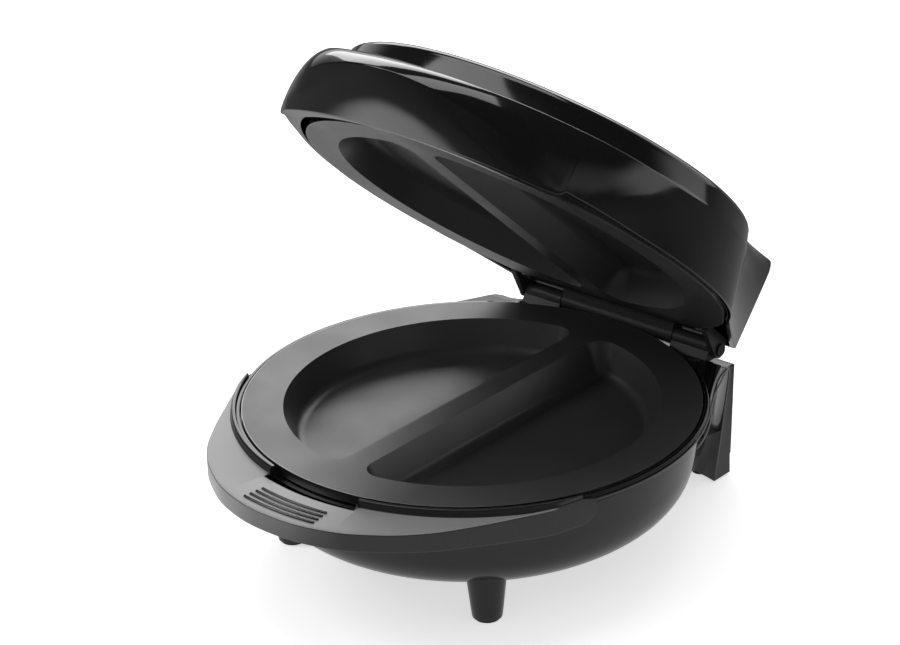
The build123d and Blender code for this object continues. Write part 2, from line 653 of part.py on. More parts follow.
with BuildPart() as lower_hinge_bracket:
    for side in SIDES:
        with BuildSketch(level(DECK)):
            with Locations((side * (FOOT_PLATE[0] + FOOT_PLATE[1]) / 2, (FOOT_PLATE[2] + FOOT_PLATE[3]) / 2)):
                Rectangle(FOOT_PLATE[1] - FOOT_PLATE[0], FOOT_PLATE[3] - FOOT_PLATE[2])
            with Locations((side * BRACKET_SCREW[0], BRACKET_SCREW[1])):
                Circle(1.8, mode=Mode.SUBTRACT)
        extrude(amount=FOOT_PLATE_THICKNESS)
        with BuildSketch(sideways(side * KNUCKLE_START)):
            with BuildLine():
                Polyline(*WEB, close=True)
            make_face()
            with Locations((HINGE_BACK, -HINGE_DROP)):
                Circle(BARREL_RADIUS)
        extrude(amount=side * (KNUCKLE_END - KNUCKLE_START))
    with BuildSketch(sideways(-70)):
        with Locations((HINGE_BACK, -HINGE_DROP)):
            Circle(PIN_RADIUS + PIN_FIT)
    extrude(amount=140, mode=Mode.SUBTRACT)
lower_hinge_bracket.part.label = "lower_hinge_bracket"
export_step(lower_hinge_bracket.part, "parts/lower_hinge_bracket.step")

lower_hinge_screws = screws(BRACKET_SCREWS, DECK + FOOT_PLATE_THICKNESS + 0.02, 9, up=-1)
lower_hinge_screws.label = "lower_hinge_screws"
export_step(lower_hinge_screws, "parts/lower_hinge_screws.step")

with BuildPart() as hinge_pin:
    with BuildSketch(sideways(-PIN_HALF)):
        with Locations((HINGE_BACK, -HINGE_DROP)):
            Circle(PIN_RADIUS)
    extrude(amount=2 * PIN_HALF)
    for side in SIDES:
        with BuildSketch(sideways(side * (ARM_END + 0.3))):
            with Locations((HINGE_BACK, -HINGE_DROP)):
                Circle(PIN_RADIUS + 1)
        extrude(amount=side * (PIN_HALF - ARM_END - 0.3))
hinge_pin.part.label = "hinge_pin"
export_step(hinge_pin.part, "parts/hinge_pin.step")

# --- lid housing ------------------------------------------------------------------------
# One moulding: a round drum swept back to the hinge, with a finger grip flared out in front.
# Plan sections of the drum: height, radius, angle where the flank leaves the circle.
LID_OUTSIDE = (
    (LID_RIM, LID_RIM_RADIUS, 124), (33.0, 102.0, 127), (42.0, 99.2, 128.5),
    (44.6, 96.2, 130), (46.3, 91.5, 132), (47.2, 84.0, 134), (50.0, 84.0, 134),
)
LID_INSIDE = (
    (LID_RIM - 1, LID_RIM_RADIUS - WALL, 124), (33.0, 99.5, 127), (40.5, 97.0, 128.5),
    (42.3, 94.0, 130), (43.8, 89.0, 132), (48.0, 89.0, 132),
)
# Finger grip: angle from the front, lower edge radius and height, upper edge radius and height,
# how far the band above bulges out, and the radius and height of the crease that ends the band.
GRIP = (
    (0.0, 112.3, -0.6, 132.0, 19.8, 1.0, 119.8, 28.8),
    (8.6, 112.9, -0.6, 130.3, 19.2, 1.3, 120.2, 28.6),
    (17.2, 114.6, -0.7, 127.6, 17.2, 1.8, 121.0, 28.3),
    (21.0, 115.6, -0.8, 126.0, 15.6, 2.0, 121.0, 28.3),
    (27.3, 117.3, -0.9, 123.4, 12.9, 2.2, 117.7, 29.4),
    (35.0, 118.6, -1.0, 119.8, 8.9, 2.2, 113.8, 30.2),
    (39.3, 117.2, -0.6, 118.1, 6.2, 2.2, 112.7, 30.4),
    (43.3, 116.0, 0.5, 116.9, 2.9, 2.2, 112.3, 30.5),
)
GRIP_INNER = 110.5      # the grip's inner wall clears the lip on the front handle
GRIP_FOOT = 2.6         # where that wall meets the underside of the lid's rim
# Beyond the grip: angle, radius of the rim, bulge, and the crease again until it fades out.
GRIP_ENDS = (
    (43.3, 116.9, 2.2, 112.3, 30.5), (52.0, 113.4, 2.5, 111.4, 30.7), (62.0, 108.6, 2.0, 108.2, 31.0),
    (70.0, 108.2, 1.0, 105.0, 31.8), (78.0, 108.1, 0.2, 102.6, 32.3),
)
LEDGE_RISE = 0.9        # from the crease a flat ledge runs in to the drum
LAMP_PLACES = ((-9, -77), (9, -77))
LAMP_HOLE = 3.65
LID_SCREW_WELL = 4.4


def lid_top(y):
    """Height of the lid's top at this distance behind the plates' centre."""
    return LID_TOP + LID_TOP_RISE * (y + 90)


def lid_body(sections, depth):
    """Solid through these plan sections, cut off along the lid's top or this depth below it."""
    with BuildPart() as body:
        for height, radius, leave in sections:
            with BuildSketch(level(height)):
                flared_face(radius, leave, depth)
        loft(ruled=True)
        with BuildSketch(sideways(-130)):
            with BuildLine():
                Polyline(
                    (-140, lid_top(-140) - depth), (140, lid_top(140) - depth), (140, 60), (-140, 60), close=True
                )
            make_face()
        extrude(amount=260, mode=Mode.SUBTRACT)
    return body.part


def radial_loft(sections):
    """Solid through these upright sections, each a list of (radius, height) at one angle."""
    with BuildPart() as body:
        for angle, points in sections:
            with BuildSketch(radial(angle)):
                with BuildLine():
                    Polyline(*points, close=True)
                make_face()
        loft(ruled=True)
    return body.part


def both_ways(sections):
    """The sections from left to right, from those on the right."""
    return [(-angle, points) for angle, points in reversed(sections) if angle > 0] + sections


def bulged(low, high, bulge):
    """Point out from the middle between two points of an upright section."""
    across, up = high[0] - low[0], high[1] - low[1]
    size = sqrt(across**2 + up**2)
    return ((low[0] + high[0]) / 2 + bulge * up / size, (low[1] + high[1]) / 2 - bulge * across / size)


grip = radial_loft(both_ways([
    (angle, ((GRIP_INNER, GRIP_FOOT), (GRIP_INNER, low), (low_radius, low), (high_radius, high),
             bulged((high_radius, high), (crease_radius, crease), bulge), (crease_radius, crease),
             (100, crease + LEDGE_RISE), (106.2, LID_RIM)))
    for angle, low_radius, low, high_radius, high, bulge, crease_radius, crease in GRIP
]))
grip_inside = radial_loft(both_ways([
    (angle, ((101, 6.5), (low_radius + 1.8, 6.5), (high_radius - 5, high - 0.8),
             (crease_radius - 3, crease - 3.2), (99.5, crease - 2.5)))
    for angle, low_radius, low, high_radius, high, bulge, crease_radius, crease in GRIP[:5]
]))
grip_end = radial_loft([
    (angle, ((106.2, LID_RIM), (radius, LID_RIM), bulged((radius, LID_RIM), (crease_radius, crease), bulge),
             (crease_radius, crease), (100, crease + LEDGE_RISE)))
    for angle, radius, bulge, crease_radius, crease in GRIP_ENDS
])

with BuildPart() as lid_housing:
    add(lid_body(LID_OUTSIDE, 0))
    add(grip)
    add(grip_end)
    add(grip_end.mirror(Plane.YZ))
    add(lid_body(LID_INSIDE, WALL), mode=Mode.SUBTRACT)
    add(grip_inside, mode=Mode.SUBTRACT)
    # bosses for the hinge bracket, posts for the screws that tie the plate in
    with BuildSketch(level(BRACKET_TOP + 0.05)):
        with Locations(*BRACKET_SCREWS):
            Circle(BOSS_RADIUS)
    extrude(amount=lid_top(BRACKET_SCREW[1]) - 2 - BRACKET_TOP)
    with BuildSketch(level(BRACKET_TOP)):
        with Locations(*BRACKET_SCREWS):
            Circle(1.55)
    extrude(amount=12, mode=Mode.SUBTRACT)
    for place in TIE_PLACES:
        with BuildSketch(level(UPPER_PLATE_FACE + TIE_BOSS + TIE_POST_GAP)):
            with Locations(place):
                Circle(TIE_POST_RADIUS)
        extrude(amount=lid_top(place[1]) - 1 - UPPER_PLATE_FACE - TIE_BOSS)
    with BuildSketch(level(UPPER_PLATE_FACE - TIE_SCREW_SEAT)):
        with Locations(*TIE_PLACES):
            Circle(LID_SCREW_WELL)
    extrude(amount=20, mode=Mode.SUBTRACT)
    with BuildSketch(level(20)):
        with Locations(*TIE_PLACES):
            Circle(2.2)
        with Locations(*LAMP_PLACES):
            Circle(LAMP_HOLE)
    extrude(amount=40, mode=Mode.SUBTRACT)
lid_housing.part.label = "lid_housing"
export_step(opened(lid_housing.part), "parts/lid_housing.step")

# Covers for the two screw wells, flush with the top.
with BuildPart() as lid_screw_covers:
    for place in TIE_PLACES:
        with BuildSketch(level(lid_top(place[1]) - 2)):
            with Locations(place):
                Circle(LID_SCREW_WELL - 0.1)
        extrude(amount=1.95)
lid_screw_covers.part.label = "lid_screw_covers"
export_step(opened(lid_screw_covers.part), "parts/lid_screw_covers.step")

# --- lid's plate and heating ------------------------------------------------------------
# The same pockets and heating as below, mirrored through the gap between the two plates.
HALFWAY = level(UPPER_PLATE_FACE / 2)

with BuildPart() as upper_plate:
    with BuildSketch(level(UPPER_PLATE_FACE)):
        with Locations((0, UPPER_PLATE_SHIFT)):
            Circle(UPPER_PLATE_RADIUS)
        flared_face(104.2, 122, 2.9, mode=Mode.INTERSECT)
        with Locations((0, UPPER_PLATE_REAR)):
            Rectangle(240, 40, align=(Align.CENTER, Align.MIN), mode=Mode.SUBTRACT)
    extrude(amount=PLATE_RIM)
    fillet(upper_plate.edges().filter_by(Axis.Z).group_by(Axis.Y)[-1], 9)
    add(casing.part.mirror(HALFWAY))
    add(casing.part.mirror(Plane.YZ).mirror(HALFWAY))
    with BuildSketch(level(UPPER_PLATE_FACE + 2)):
        with Locations(*CLAMP_PLACES):
            Circle(PLATE_BOSS_RADIUS)
    extrude(amount=-CLAMP_TOP - 2)
    with BuildSketch(level(UPPER_PLATE_FACE + 2)):
        with Locations(*TIE_PLACES):
            Circle(PLATE_BOSS_RADIUS)
    extrude(amount=TIE_BOSS - 2)
    add(pocket.part.mirror(HALFWAY), mode=Mode.SUBTRACT)
    add(pocket.part.mirror(Plane.YZ).mirror(HALFWAY), mode=Mode.SUBTRACT)
    with BuildSketch(level(UPPER_PLATE_FACE + CASING_DEPTH - 8)):
        with Locations(*CLAMP_PLACES, *TIE_PLACES):
            Circle(1.55)
    extrude(amount=20, mode=Mode.SUBTRACT)
upper_plate.part.label = "upper_plate"
export_step(opened(upper_plate.part), "parts/upper_plate.step")

upper_element = lower_element.part.mirror(HALFWAY)
upper_element.label = "upper_element"
export_step(opened(upper_element), "parts/upper_element.step")

upper_clamps = lower_clamps.part.mirror(HALFWAY)
upper_clamps.label = "upper_clamps"
export_step(opened(upper_clamps), "parts/upper_clamps.step")

upper_reflector = lower_reflector.part.mirror(HALFWAY)
upper_reflector.label = "upper_reflector"
export_step(opened(upper_reflector), "parts/upper_reflector.step")

upper_clamp_screws = lower_clamp_screws.mirror(HALFWAY)
upper_clamp_screws.label = "upper_clamp_screws"
export_step(opened(upper_clamp_screws), "parts/upper_clamp_screws.step")

upper_tie_screws = lower_tie_screws.mirror(HALFWAY)
upper_tie_screws.label = "upper_tie_screws"
export_step(opened(upper_tie_screws), "parts/upper_tie_screws.step")

# --- hinge, lid side --------------------------------------------------------------------
# Plate across the back of the lid with the middle barrel and a thin arm at each end.
MIDDLE_WEB = ((104.5, BRACKET_TOP), (113.4, BRACKET_TOP), (112.2, -HINGE_DROP), (106.4, -HINGE_DROP), (104.5, 2.6))
ARM = ((93.6, BRACKET_TOP), (113.4, BRACKET_TOP), (112.2, -HINGE_DROP), (109.6, -4.95), (93.6, 1.6))

with BuildPart() as upper_hinge_bracket:
    with BuildSketch(level(BRACKET_TOP)):
        with Locations((0, 93.6)):
            Rectangle(2 * ARM_END, 19.8, align=(Align.CENTER, Align.MIN))
        with Locations(*BRACKET_SCREWS):
            Circle(1.8, mode=Mode.SUBTRACT)
    extrude(amount=-1.5)
    with BuildSketch(sideways(-BARREL_HALF)):
        with BuildLine():
            Polyline(*MIDDLE_WEB, close=True)
        make_face()
        with Locations((HINGE_BACK, -HINGE_DROP)):
            Circle(BARREL_RADIUS)
    extrude(amount=2 * BARREL_HALF)
    for side in SIDES:
        with BuildSketch(sideways(side * ARM_START)):
            with BuildLine():
                Polyline(*ARM, close=True)
            make_face()
            with Locations((HINGE_BACK, -HINGE_DROP)):
                Circle(BARREL_RADIUS)
        extrude(amount=side * (ARM_END - ARM_START))
    with BuildSketch(sideways(-70)):
        with Locations((HINGE_BACK, -HINGE_DROP)):
            Circle(PIN_RADIUS + PIN_FIT)
    extrude(amount=140, mode=Mode.SUBTRACT)
upper_hinge_bracket.part.label = "upper_hinge_bracket"
export_step(opened(upper_hinge_bracket.part), "parts/upper_hinge_bracket.step")

upper_hinge_screws = screws(BRACKET_SCREWS, BRACKET_TOP - 1.52, 9)
upper_hinge_screws.label = "upper_hinge_screws"
export_step(opened(upper_hinge_screws), "parts/upper_hinge_screws.step")

# --- indicator lamps in the top of the lid ----------------------------------------------
LENS_FLANGE = 5.0
LENS_PROUD = 0.3
NEON_RADIUS = 2.4
HOLDER_HEIGHT = 32.5
LENS_SEAT = lid_top(LAMP_PLACES[0][1]) - WALL - 0.05

for name, place in zip(("power_lamp_lens", "ready_lamp_lens"), LAMP_PLACES):
    with BuildPart() as lens:
        with BuildSketch(level(LENS_SEAT)):
            with Locations(place):
                Circle(LENS_FLANGE)
        extrude(amount=-1.2)
        with BuildSketch(level(LENS_SEAT)):
            with Locations(place):
                Circle(LAMP_HOLE - 0.1)
        extrude(amount=WALL + LENS_PROUD)
        fillet(lens.edges().group_by(Axis.Z)[-1], 0.3)
    lens.part.label = name
    export_step(opened(lens.part), f"parts/{name}.step")

with BuildPart() as neon_lamps:
    with BuildSketch(level(HOLDER_HEIGHT + 2.05)):
        with Locations(*LAMP_PLACES):
            Circle(NEON_RADIUS)
    extrude(amount=7.5)
    fillet(neon_lamps.edges().group_by(Axis.Z)[-1], 2.0)
neon_lamps.part.label = "neon_lamps"
export_step(opened(neon_lamps.part), "parts/neon_lamps.step")

with BuildPart() as lamp_holder:
    with BuildSketch(level(HOLDER_HEIGHT)):
        with Locations((0, LAMP_PLACES[0][1])):
            Rectangle(34, 9)
    extrude(amount=LENS_SEAT - HOLDER_HEIGHT)
    with BuildSketch(level(HOLDER_HEIGHT + 2)):
        with Locations((0, LAMP_PLACES[0][1])):
            Rectangle(30, 9)
    extrude(amount=20, mode=Mode.SUBTRACT)
lamp_holder.part.label = "lamp_holder"
export_step(opened(lamp_holder.part), "parts/lamp_holder.step")
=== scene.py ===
import math
import bmesh
import bpy
from mathutils import Matrix, Vector


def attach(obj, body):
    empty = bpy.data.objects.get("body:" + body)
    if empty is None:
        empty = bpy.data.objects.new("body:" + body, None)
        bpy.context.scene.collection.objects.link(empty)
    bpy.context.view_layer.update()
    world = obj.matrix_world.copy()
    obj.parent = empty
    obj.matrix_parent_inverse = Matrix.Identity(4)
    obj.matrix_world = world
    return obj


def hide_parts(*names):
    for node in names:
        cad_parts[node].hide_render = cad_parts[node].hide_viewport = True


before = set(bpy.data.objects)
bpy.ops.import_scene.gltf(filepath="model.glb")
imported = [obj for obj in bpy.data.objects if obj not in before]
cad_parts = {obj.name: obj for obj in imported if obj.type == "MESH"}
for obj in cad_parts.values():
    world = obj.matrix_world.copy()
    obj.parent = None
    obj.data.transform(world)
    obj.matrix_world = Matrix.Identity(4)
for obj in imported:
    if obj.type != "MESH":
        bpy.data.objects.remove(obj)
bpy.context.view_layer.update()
scene = bpy.context.scene
scene.view_settings.view_transform = "Standard"

# --- camera -----------------------------------------------------------------------------
# A long lens from the front right, a little above the open lid's middle.
AZIMUTH, ELEVATION, ROLL = math.radians(41.07), math.radians(25.02), math.radians(-1.74)
AIM, DISTANCE, LENS = Vector((0.00057, -0.02028, 0.10946)), 1.50853, 135.07
back = Vector((
    math.sin(AZIMUTH) * math.cos(ELEVATION), -math.cos(AZIMUTH) * math.cos(ELEVATION), math.sin(ELEVATION)
))
right = Vector((math.cos(AZIMUTH), math.sin(AZIMUTH), 0.0))
up = back.cross(right)
turned_right = right * math.cos(ROLL) + up * math.sin(ROLL)
turned_up = up * math.cos(ROLL) - right * math.sin(ROLL)
camera_data = bpy.data.cameras.new("camera")
camera_data.sensor_width = 36.0
camera_data.lens = LENS
camera_data.clip_end = 20.0
camera = bpy.data.objects.new("camera", camera_data)
camera.matrix_world = Matrix.Translation(AIM + back * DISTANCE) @ Matrix(
    (turned_right, turned_up, back)).transposed().to_4x4()
scene.collection.objects.link(camera)
scene.camera = camera


# --- studio -----------------------------------------------------------------------------
# White paper sweep under soft boxes overhead, behind and on the left, in a dim room with a
# white backdrop behind the object and a pale wall on its right.
def fill(tree, node, inputs):
    """Set each of these inputs of the node to its value, or link it to another node's output."""
    for name, value in dict(inputs).items():
        if isinstance(value, bpy.types.NodeSocket):
            tree.links.new(value, node.inputs[name])
        else:
            node.inputs[name].default_value = value
    return node


def add_node(tree, kind, inputs=(), **settings):
    """New node of this kind with these settings and inputs."""
    node = tree.nodes.new(kind)
    for name, value in settings.items():
        setattr(node, name, value)
    return fill(tree, node, inputs)


def worked_out(tree, operation, *values):
    """Output of a Math node; each value is a number or another node's output."""
    return add_node(tree, "ShaderNodeMath", enumerate(values), operation=operation).outputs[0]


def slope(tree, value, start, end, low=0.0, high=1.0, curve="LINEAR"):
    """The value read on a slope between these ends."""
    ends = {"Value": value, "From Min": start, "From Max": end, "To Min": low, "To Max": high}
    return add_node(tree, "ShaderNodeMapRange", ends, interpolation_type=curve).outputs[0]


def ramp(tree, value, start, end, low=0.0, high=1.0):
    """The value read on a smooth slope between these ends."""
    return slope(tree, value, start, end, low, high, curve="SMOOTHSTEP")


def mixed(tree, share, first, second):
    """The first colour turning into the second by this share."""
    colours = {"Factor": share, "A": first, "B": second}
    return add_node(tree, "ShaderNodeMix", colours, data_type="RGBA").outputs["Result"]


WHITE = (1, 1, 1, 1)
LIT_PAPER, PAINTED_SHADE_PAPER = (0.86, 0.86, 0.86, 1), (0.20, 0.20, 0.20, 1)      # as seen, and darkened by painted shade where the gloss shows it
PAPER_GLOW = 0.62
SWEEP_HALF = 6
PAINTED_LIGHT_POOLS = (((-0.03, -0.16, 0), 0.28, 0.48, 0.45), ((-0.20, -0.29, 0), 0.10, 0.27, 1.5))   # painted pools of light, glowing only in reflections: middle, reach, strength
floor_mesh = bpy.data.meshes.new("floor")
floor_mesh.from_pydata(
    [(x * SWEEP_HALF, y * SWEEP_HALF, 0) for x, y in ((-1, -1), (1, -1), (1, 1), (-1, 1))], [], [(0, 1, 2, 3)])
floor = bpy.data.objects.new("floor", floor_mesh)
scene.collection.objects.link(floor)
white_sweep = bpy.data.materials.new("white sweep")
white_sweep.use_nodes = True
tree = white_sweep.node_tree
tree.nodes.clear()
ray = add_node(tree, "ShaderNodeLightPath").outputs
place = add_node(tree, "ShaderNodeTexCoord").outputs["Object"]
painted_light_pools = []
for middle, start, end, strength in PAINTED_LIGHT_POOLS:
    away = add_node(tree, "ShaderNodeVectorMath", {0: place, 1: middle}, operation="DISTANCE").outputs["Value"]
    painted_light_pools.append(ramp(tree, away, start, end, strength, 0.0))
painted_light_pool = worked_out(tree, "ADD", *painted_light_pools)              # painted light: the paper glows in these pools, as the gloss shows it
seen = worked_out(tree, "MAXIMUM", ray["Is Camera Ray"], ray["Is Transmission Ray"])
reflected_painted_light = worked_out(tree, "MULTIPLY", ray["Is Glossy Ray"], painted_light_pool)
# Painted shade and light: in reflections the paper takes its darker copy, with the painted pools of light glowing on
# it.
paper = add_node(tree, "ShaderNodeBsdfDiffuse", {"Color": mixed(tree, ray["Is Glossy Ray"], LIT_PAPER, PAINTED_SHADE_PAPER)})
glow = add_node(tree, "ShaderNodeEmission", {
    "Color": WHITE, "Strength": worked_out(tree, "MAXIMUM", worked_out(tree, "MULTIPLY", seen, PAPER_GLOW), reflected_painted_light)})
both = add_node(tree, "ShaderNodeAddShader", {0: paper.outputs[0], 1: glow.outputs[0]})
add_node(tree, "ShaderNodeOutputMaterial", {"Surface": both.outputs[0]})
floor_mesh.materials.append(white_sweep)

BACKDROP, WALL, ROOM_LIGHT = 0.9, 0.35, 0.42        # strengths
world = bpy.data.worlds.new("room")
world.use_nodes = True
scene.world = world
tree = world.node_tree
tree.nodes.clear()
ray = add_node(tree, "ShaderNodeLightPath").outputs
toward = add_node(tree, "ShaderNodeSeparateXYZ", {0: add_node(tree, "ShaderNodeTexCoord").outputs["Generated"]}).outputs
behind = ramp(tree, toward["Y"], 0.1, 0.6)              # the white backdrop stands behind the object
low = ramp(tree, toward["Z"], 0.20, 0.45, 1.0, 0.0)
dim_room = ramp(tree, toward["Z"], 0.0, 0.5, 0.10, 0.05)
to_right = ramp(tree, toward["X"], 0.78, 1.0)           # a pale wall beyond the right edge of the sweep
above = ramp(tree, toward["Z"], 0.0, 0.2)
wall = worked_out(tree, "MULTIPLY", worked_out(tree, "MULTIPLY", to_right, above), WALL)
backdrop = worked_out(tree, "MULTIPLY_ADD", worked_out(tree, "MULTIPLY", behind, low), BACKDROP, dim_room)
lighting = worked_out(tree, "MULTIPLY", ray["Is Diffuse Ray"], ROOM_LIGHT)
soft = worked_out(tree, "MAXIMUM", worked_out(tree, "ADD", backdrop, wall), lighting)
shown = worked_out(tree, "MAXIMUM", ray["Is Camera Ray"], ray["Is Transmission Ray"])
room = add_node(tree, "ShaderNodeBackground", {"Color": WHITE, "Strength": worked_out(tree, "MAXIMUM", soft, shown)})
add_node(tree, "ShaderNodeOutputWorld", {"Surface": room.outputs[0]})


def softbox(name, place, aim, width, height, power):
    """Rectangular studio lamp at place, turned towards aim."""
    lamp = bpy.data.lights.new(name, "AREA")
    lamp.shape = "RECTANGLE"
    lamp.size, lamp.size_y, lamp.energy = width, height, power
    box = bpy.data.objects.new(name, lamp)
    box.location = place
    box.rotation_euler = (Vector(aim) - Vector(place)).to_track_quat("-Z", "Y").to_euler()
    scene.collection.objects.link(box)


softbox("overhead box", (-0.25, 0.25, 1.5), (0, 0, 0.05), 1.3, 0.9, 10)
softbox("back box", (-1.0, 1.2, 0.78), (0, 0, 0.06), 1.5, 0.7, 9)
softbox("left box", (-0.95, -0.8, 1.05), (0, 0, 0.12), 0.5, 0.6, 6)


# --- base housing -----------------------------------------------------------------------
# Bowl, rim, front legs and rear block are one injection moulding in glossy black ABS.
# The tool was polished, so only faint flow waviness and wiping marks break the gloss.
def surface_group(name, given):
    """Node group with these inputs that puts out colour, roughness and height; also gives its inputs' sockets."""
    group = bpy.data.node_groups.new(name, "ShaderNodeTree")
    put_out = {"Colour": "Color", "Roughness": "Float", "Height": "Float"}
    for sockets, way in ((given, "INPUT"), (put_out, "OUTPUT")):
        for title, kind in sockets.items():
            group.interface.new_socket(title, in_out=way, socket_type="NodeSocket" + kind)
    return group, add_node(group, "NodeGroupInput").outputs


def object_place(tree):
    """Object coordinates, which move with the piece."""
    return add_node(tree, "ShaderNodeTexCoord").outputs["Object"]


def noise(tree, place, scale, detail=2.0):
    """Noise of this scale and detail over the place."""
    return add_node(tree, "ShaderNodeTexNoise", {"Vector": place, "Scale": scale, "Detail": detail}).outputs["Fac"]


def relief(tree, height, strength, distance):
    """Normal of a surface raised by this height."""
    values = {"Strength": strength, "Distance": distance, "Height": height}
    return add_node(tree, "ShaderNodeBump", values).outputs["Normal"]


def moulded_surface():
    """Node group: faint waviness, wiping marks and dust of a polished moulding."""
    group, given = surface_group(
        "moulded surface", {"Colour": "Color", "Roughness": "Float", "Wear": "Float", "Scale": "Float"})
    place = object_place(group)
    wipes = add_node(group, "ShaderNodeMapping", {"Vector": place, "Scale": (26, 90, 40), "Rotation": (0.3, 0.2, 0.7)})
    wiped = slope(group, noise(group, wipes.outputs[0], 1.0, 3.0), 0.45, 0.75)
    worn = worked_out(group, "MULTIPLY", wiped, given["Wear"])
    specks = slope(group, noise(group, place, 900.0), 0.66, 0.80, 0.0, 0.05)
    add_node(group, "NodeGroupOutput", {
        "Colour": mixed(group, specks, given["Colour"], (0.35, 0.35, 0.34, 1)),
        "Roughness": worked_out(group, "ADD", given["Roughness"], worn),
        "Height": noise(group, place, given["Scale"], 1.0)})
    return group


MOULDED = moulded_surface()


def new_material(name):
    """Material, its node tree and its shader."""
    material = bpy.data.materials.new(name)
    material.use_nodes = True
    return material, material.node_tree, material.node_tree.nodes["Principled BSDF"]


def plastic(name, colour, roughness, wear=0.05, scale=30.0, bump=0.0004):
    """Moulded plastic with the shared surface and this colour and gloss."""
    material, tree, shader = new_material(name)
    surface = add_node(tree, "ShaderNodeGroup", {
        "Colour": (*colour, 1), "Roughness": roughness, "Wear": wear, "Scale": scale}, node_tree=MOULDED).outputs
    fill(tree, shader, {
        "Base Color": surface["Colour"], "Roughness": surface["Roughness"], "Specular IOR Level": 0.62,
        "Normal": relief(tree, surface["Height"], 0.5, bump)})
    return material


BLACK_GLOSS = plastic("polished black moulding", (0.005, 0.005, 0.0055), 0.09)


def closed_mesh(name, points, faces):
    """Mesh of these points and faces, with doubles merged and the faces pointing outwards."""
    mesh = bpy.data.meshes.new(name)
    mesh.from_pydata([tuple(p) for p in points], [], faces)
    work = bmesh.new()
    work.from_mesh(mesh)
    bmesh.ops.remove_doubles(work, verts=work.verts, dist=2e-6)
    bmesh.ops.recalc_face_normals(work, faces=work.faces)
    work.to_mesh(mesh)
    work.free()
    return mesh


def put_in_place(name, mesh, body, stands_for, sharp):
    """Piece of this mesh, shaded smooth except over sharp edges, riding on body."""
    for face in mesh.polygons:
        face.use_smooth = True
    mesh.set_sharp_from_angle(angle=math.radians(sharp))
    piece = bpy.data.objects.new(name, mesh)
    scene.collection.objects.link(piece)
    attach(piece, body)
    if stands_for:
        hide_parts(*stands_for)


def mesh_piece(name, points, faces, material, body, stands_for=(), sharp=32):
    """Piece made of these points and faces in this material."""
    mesh = closed_mesh(name, points, faces)
    mesh.materials.append(material)
    put_in_place(name, mesh, body, stands_for, sharp)


def grid_faces(rows, columns, first=0):
    """Faces of a grid of points stored row by row, closed round its columns."""
    faces = []
    for row in range(rows - 1):
        here, above = first + row * columns, first + (row + 1) * columns
        for column in range(columns):
            after = (column + 1) % columns
            faces.append((here + column, here + after, above + after, above + column))
    return faces


def capped_faces(rows, columns, first=0):
    """Faces of such a grid with a flat cap at each end."""
    start, end = range(first, first + columns), range(first + (rows - 1) * columns, first + rows * columns)
    return grid_faces(rows, columns, first) + [tuple(reversed(start)), tuple(end)]


def softened(line, radii, steps=4):
    """The line of points with each inner corner rounded to about this radius."""
    points = [Vector(line[0])]
    for before, corner, after, radius in zip(line, line[1:], line[2:], radii):
        before, corner, after = Vector(before), Vector(corner), Vector(after)
        there, onward = before - corner, after - corner
        reach = min(radius, there.length * 0.45, onward.length * 0.45)
        start = corner + (there.normalized() * reach if there.length > 1e-9 else there * 0)
        end = corner + (onward.normalized() * reach if onward.length > 1e-9 else onward * 0)
        for step in range(steps + 1):
            t = step / steps
            points.append(start * (1 - t) ** 2 + corner * (2 * t * (1 - t)) + end * t**2)
    points.append(Vector(line[-1]))
    return points


MM = 0.001                          # millimetres to the frame's metres
CENTRE = Vector((0, -6, 66))        # plates' centre, in millimetres


def based(points):
    """Points of the base from millimetres about the plates' centre to the frame's metres."""
    return [(Vector(p) + CENTRE) * MM for p in points]


def evenly_spaced(line, count):
    """This many points at even distances along the line."""
    lengths = [0.0]
    for a, b in zip(line, line[1:]):
        lengths.append(lengths[-1] + math.dist(a, b))
    spaced, index = [], 0
    for step in range(count):
        target = lengths[-1] * step / (count - 1)
        while index < len(line) - 2 and lengths[index + 1] < target:
            index += 1
        t = (target - lengths[index]) / max(lengths[index + 1] - lengths[index], 1e-9)
        spaced.append(tuple(a + (b - a) * t for a, b in zip(line[index], line[index + 1])))
    return spaced


def smooth_line(points, count):
    """Evenly spaced points on a curve through these."""
    curve = bpy.data.curves.new("line", "CURVE")
    curve.dimensions = "3D"
    spline = curve.splines.new("BEZIER")
    spline.bezier_points.add(len(points) - 1)
    for knot, point in zip(spline.bezier_points, points):
        knot.co = (*point, 0) if len(point) == 2 else point
        knot.handle_left_type = knot.handle_right_type = "AUTO"
    curve.resolution_u = 24
    holder = bpy.data.objects.new("line", curve)
    line = [v.co.copy() for v in holder.to_mesh().vertices]
    holder.to_mesh_clear()
    bpy.data.objects.remove(holder)
    bpy.data.curves.remove(curve)
    return [Vector(point) for point in evenly_spaced(line, count)]


ROUND = 240                 # points round the bowl
AXIS = 0.001                # radius of a point on the axis
BOWL_FLOOR, BOWL_INSIDE_FLOOR = -52, -49.5
BOWL = [(103.8, -7.6), (103.5, -12), (102.9, -18), (101.3, -28), (97.7, -37), (89.9, -45), (79, -50.1), (68, -51.8),
        (60, BOWL_FLOOR)]
NOTCH = 13.5                # half angle of the finger notch, in degrees
NOTCH_DEPTH, HINGE_CUT_DEPTH, HINGE_CUT_HALF = -5.2, -6.5, 60.8
bowl_wall = [(p.x, p.y) for p in smooth_line(BOWL, 26)]
bowl_inside = [(max(r - 2.5, AXIS), z + (2.5 if z < -49 else 1.5 if z < -40 else 0.6)) for r, z in bowl_wall]
rim = softened([(102.3, -7), (102.3, -4.5), (105.8, -4.5), (105.8, -0.6), (107.4, -0.6), (107.6, -2.35),
                (108.5, -2.35), (108.4, -3.6), (104.3, -7.1), (103.8, -7.6)], (0.4, 0.4, 0.3, 0.3, 0.3, 0.7, 0.9, 0.5))
bowl_profile = [(AXIS, BOWL_INSIDE_FLOOR)] + bowl_inside[::-1] + [(p[0], p[1]) for p in rim]
bowl_profile += bowl_wall[1:] + [(30, BOWL_FLOOR), (AXIS, BOWL_FLOOR)]
housing_points = []
notch = math.radians(NOTCH)
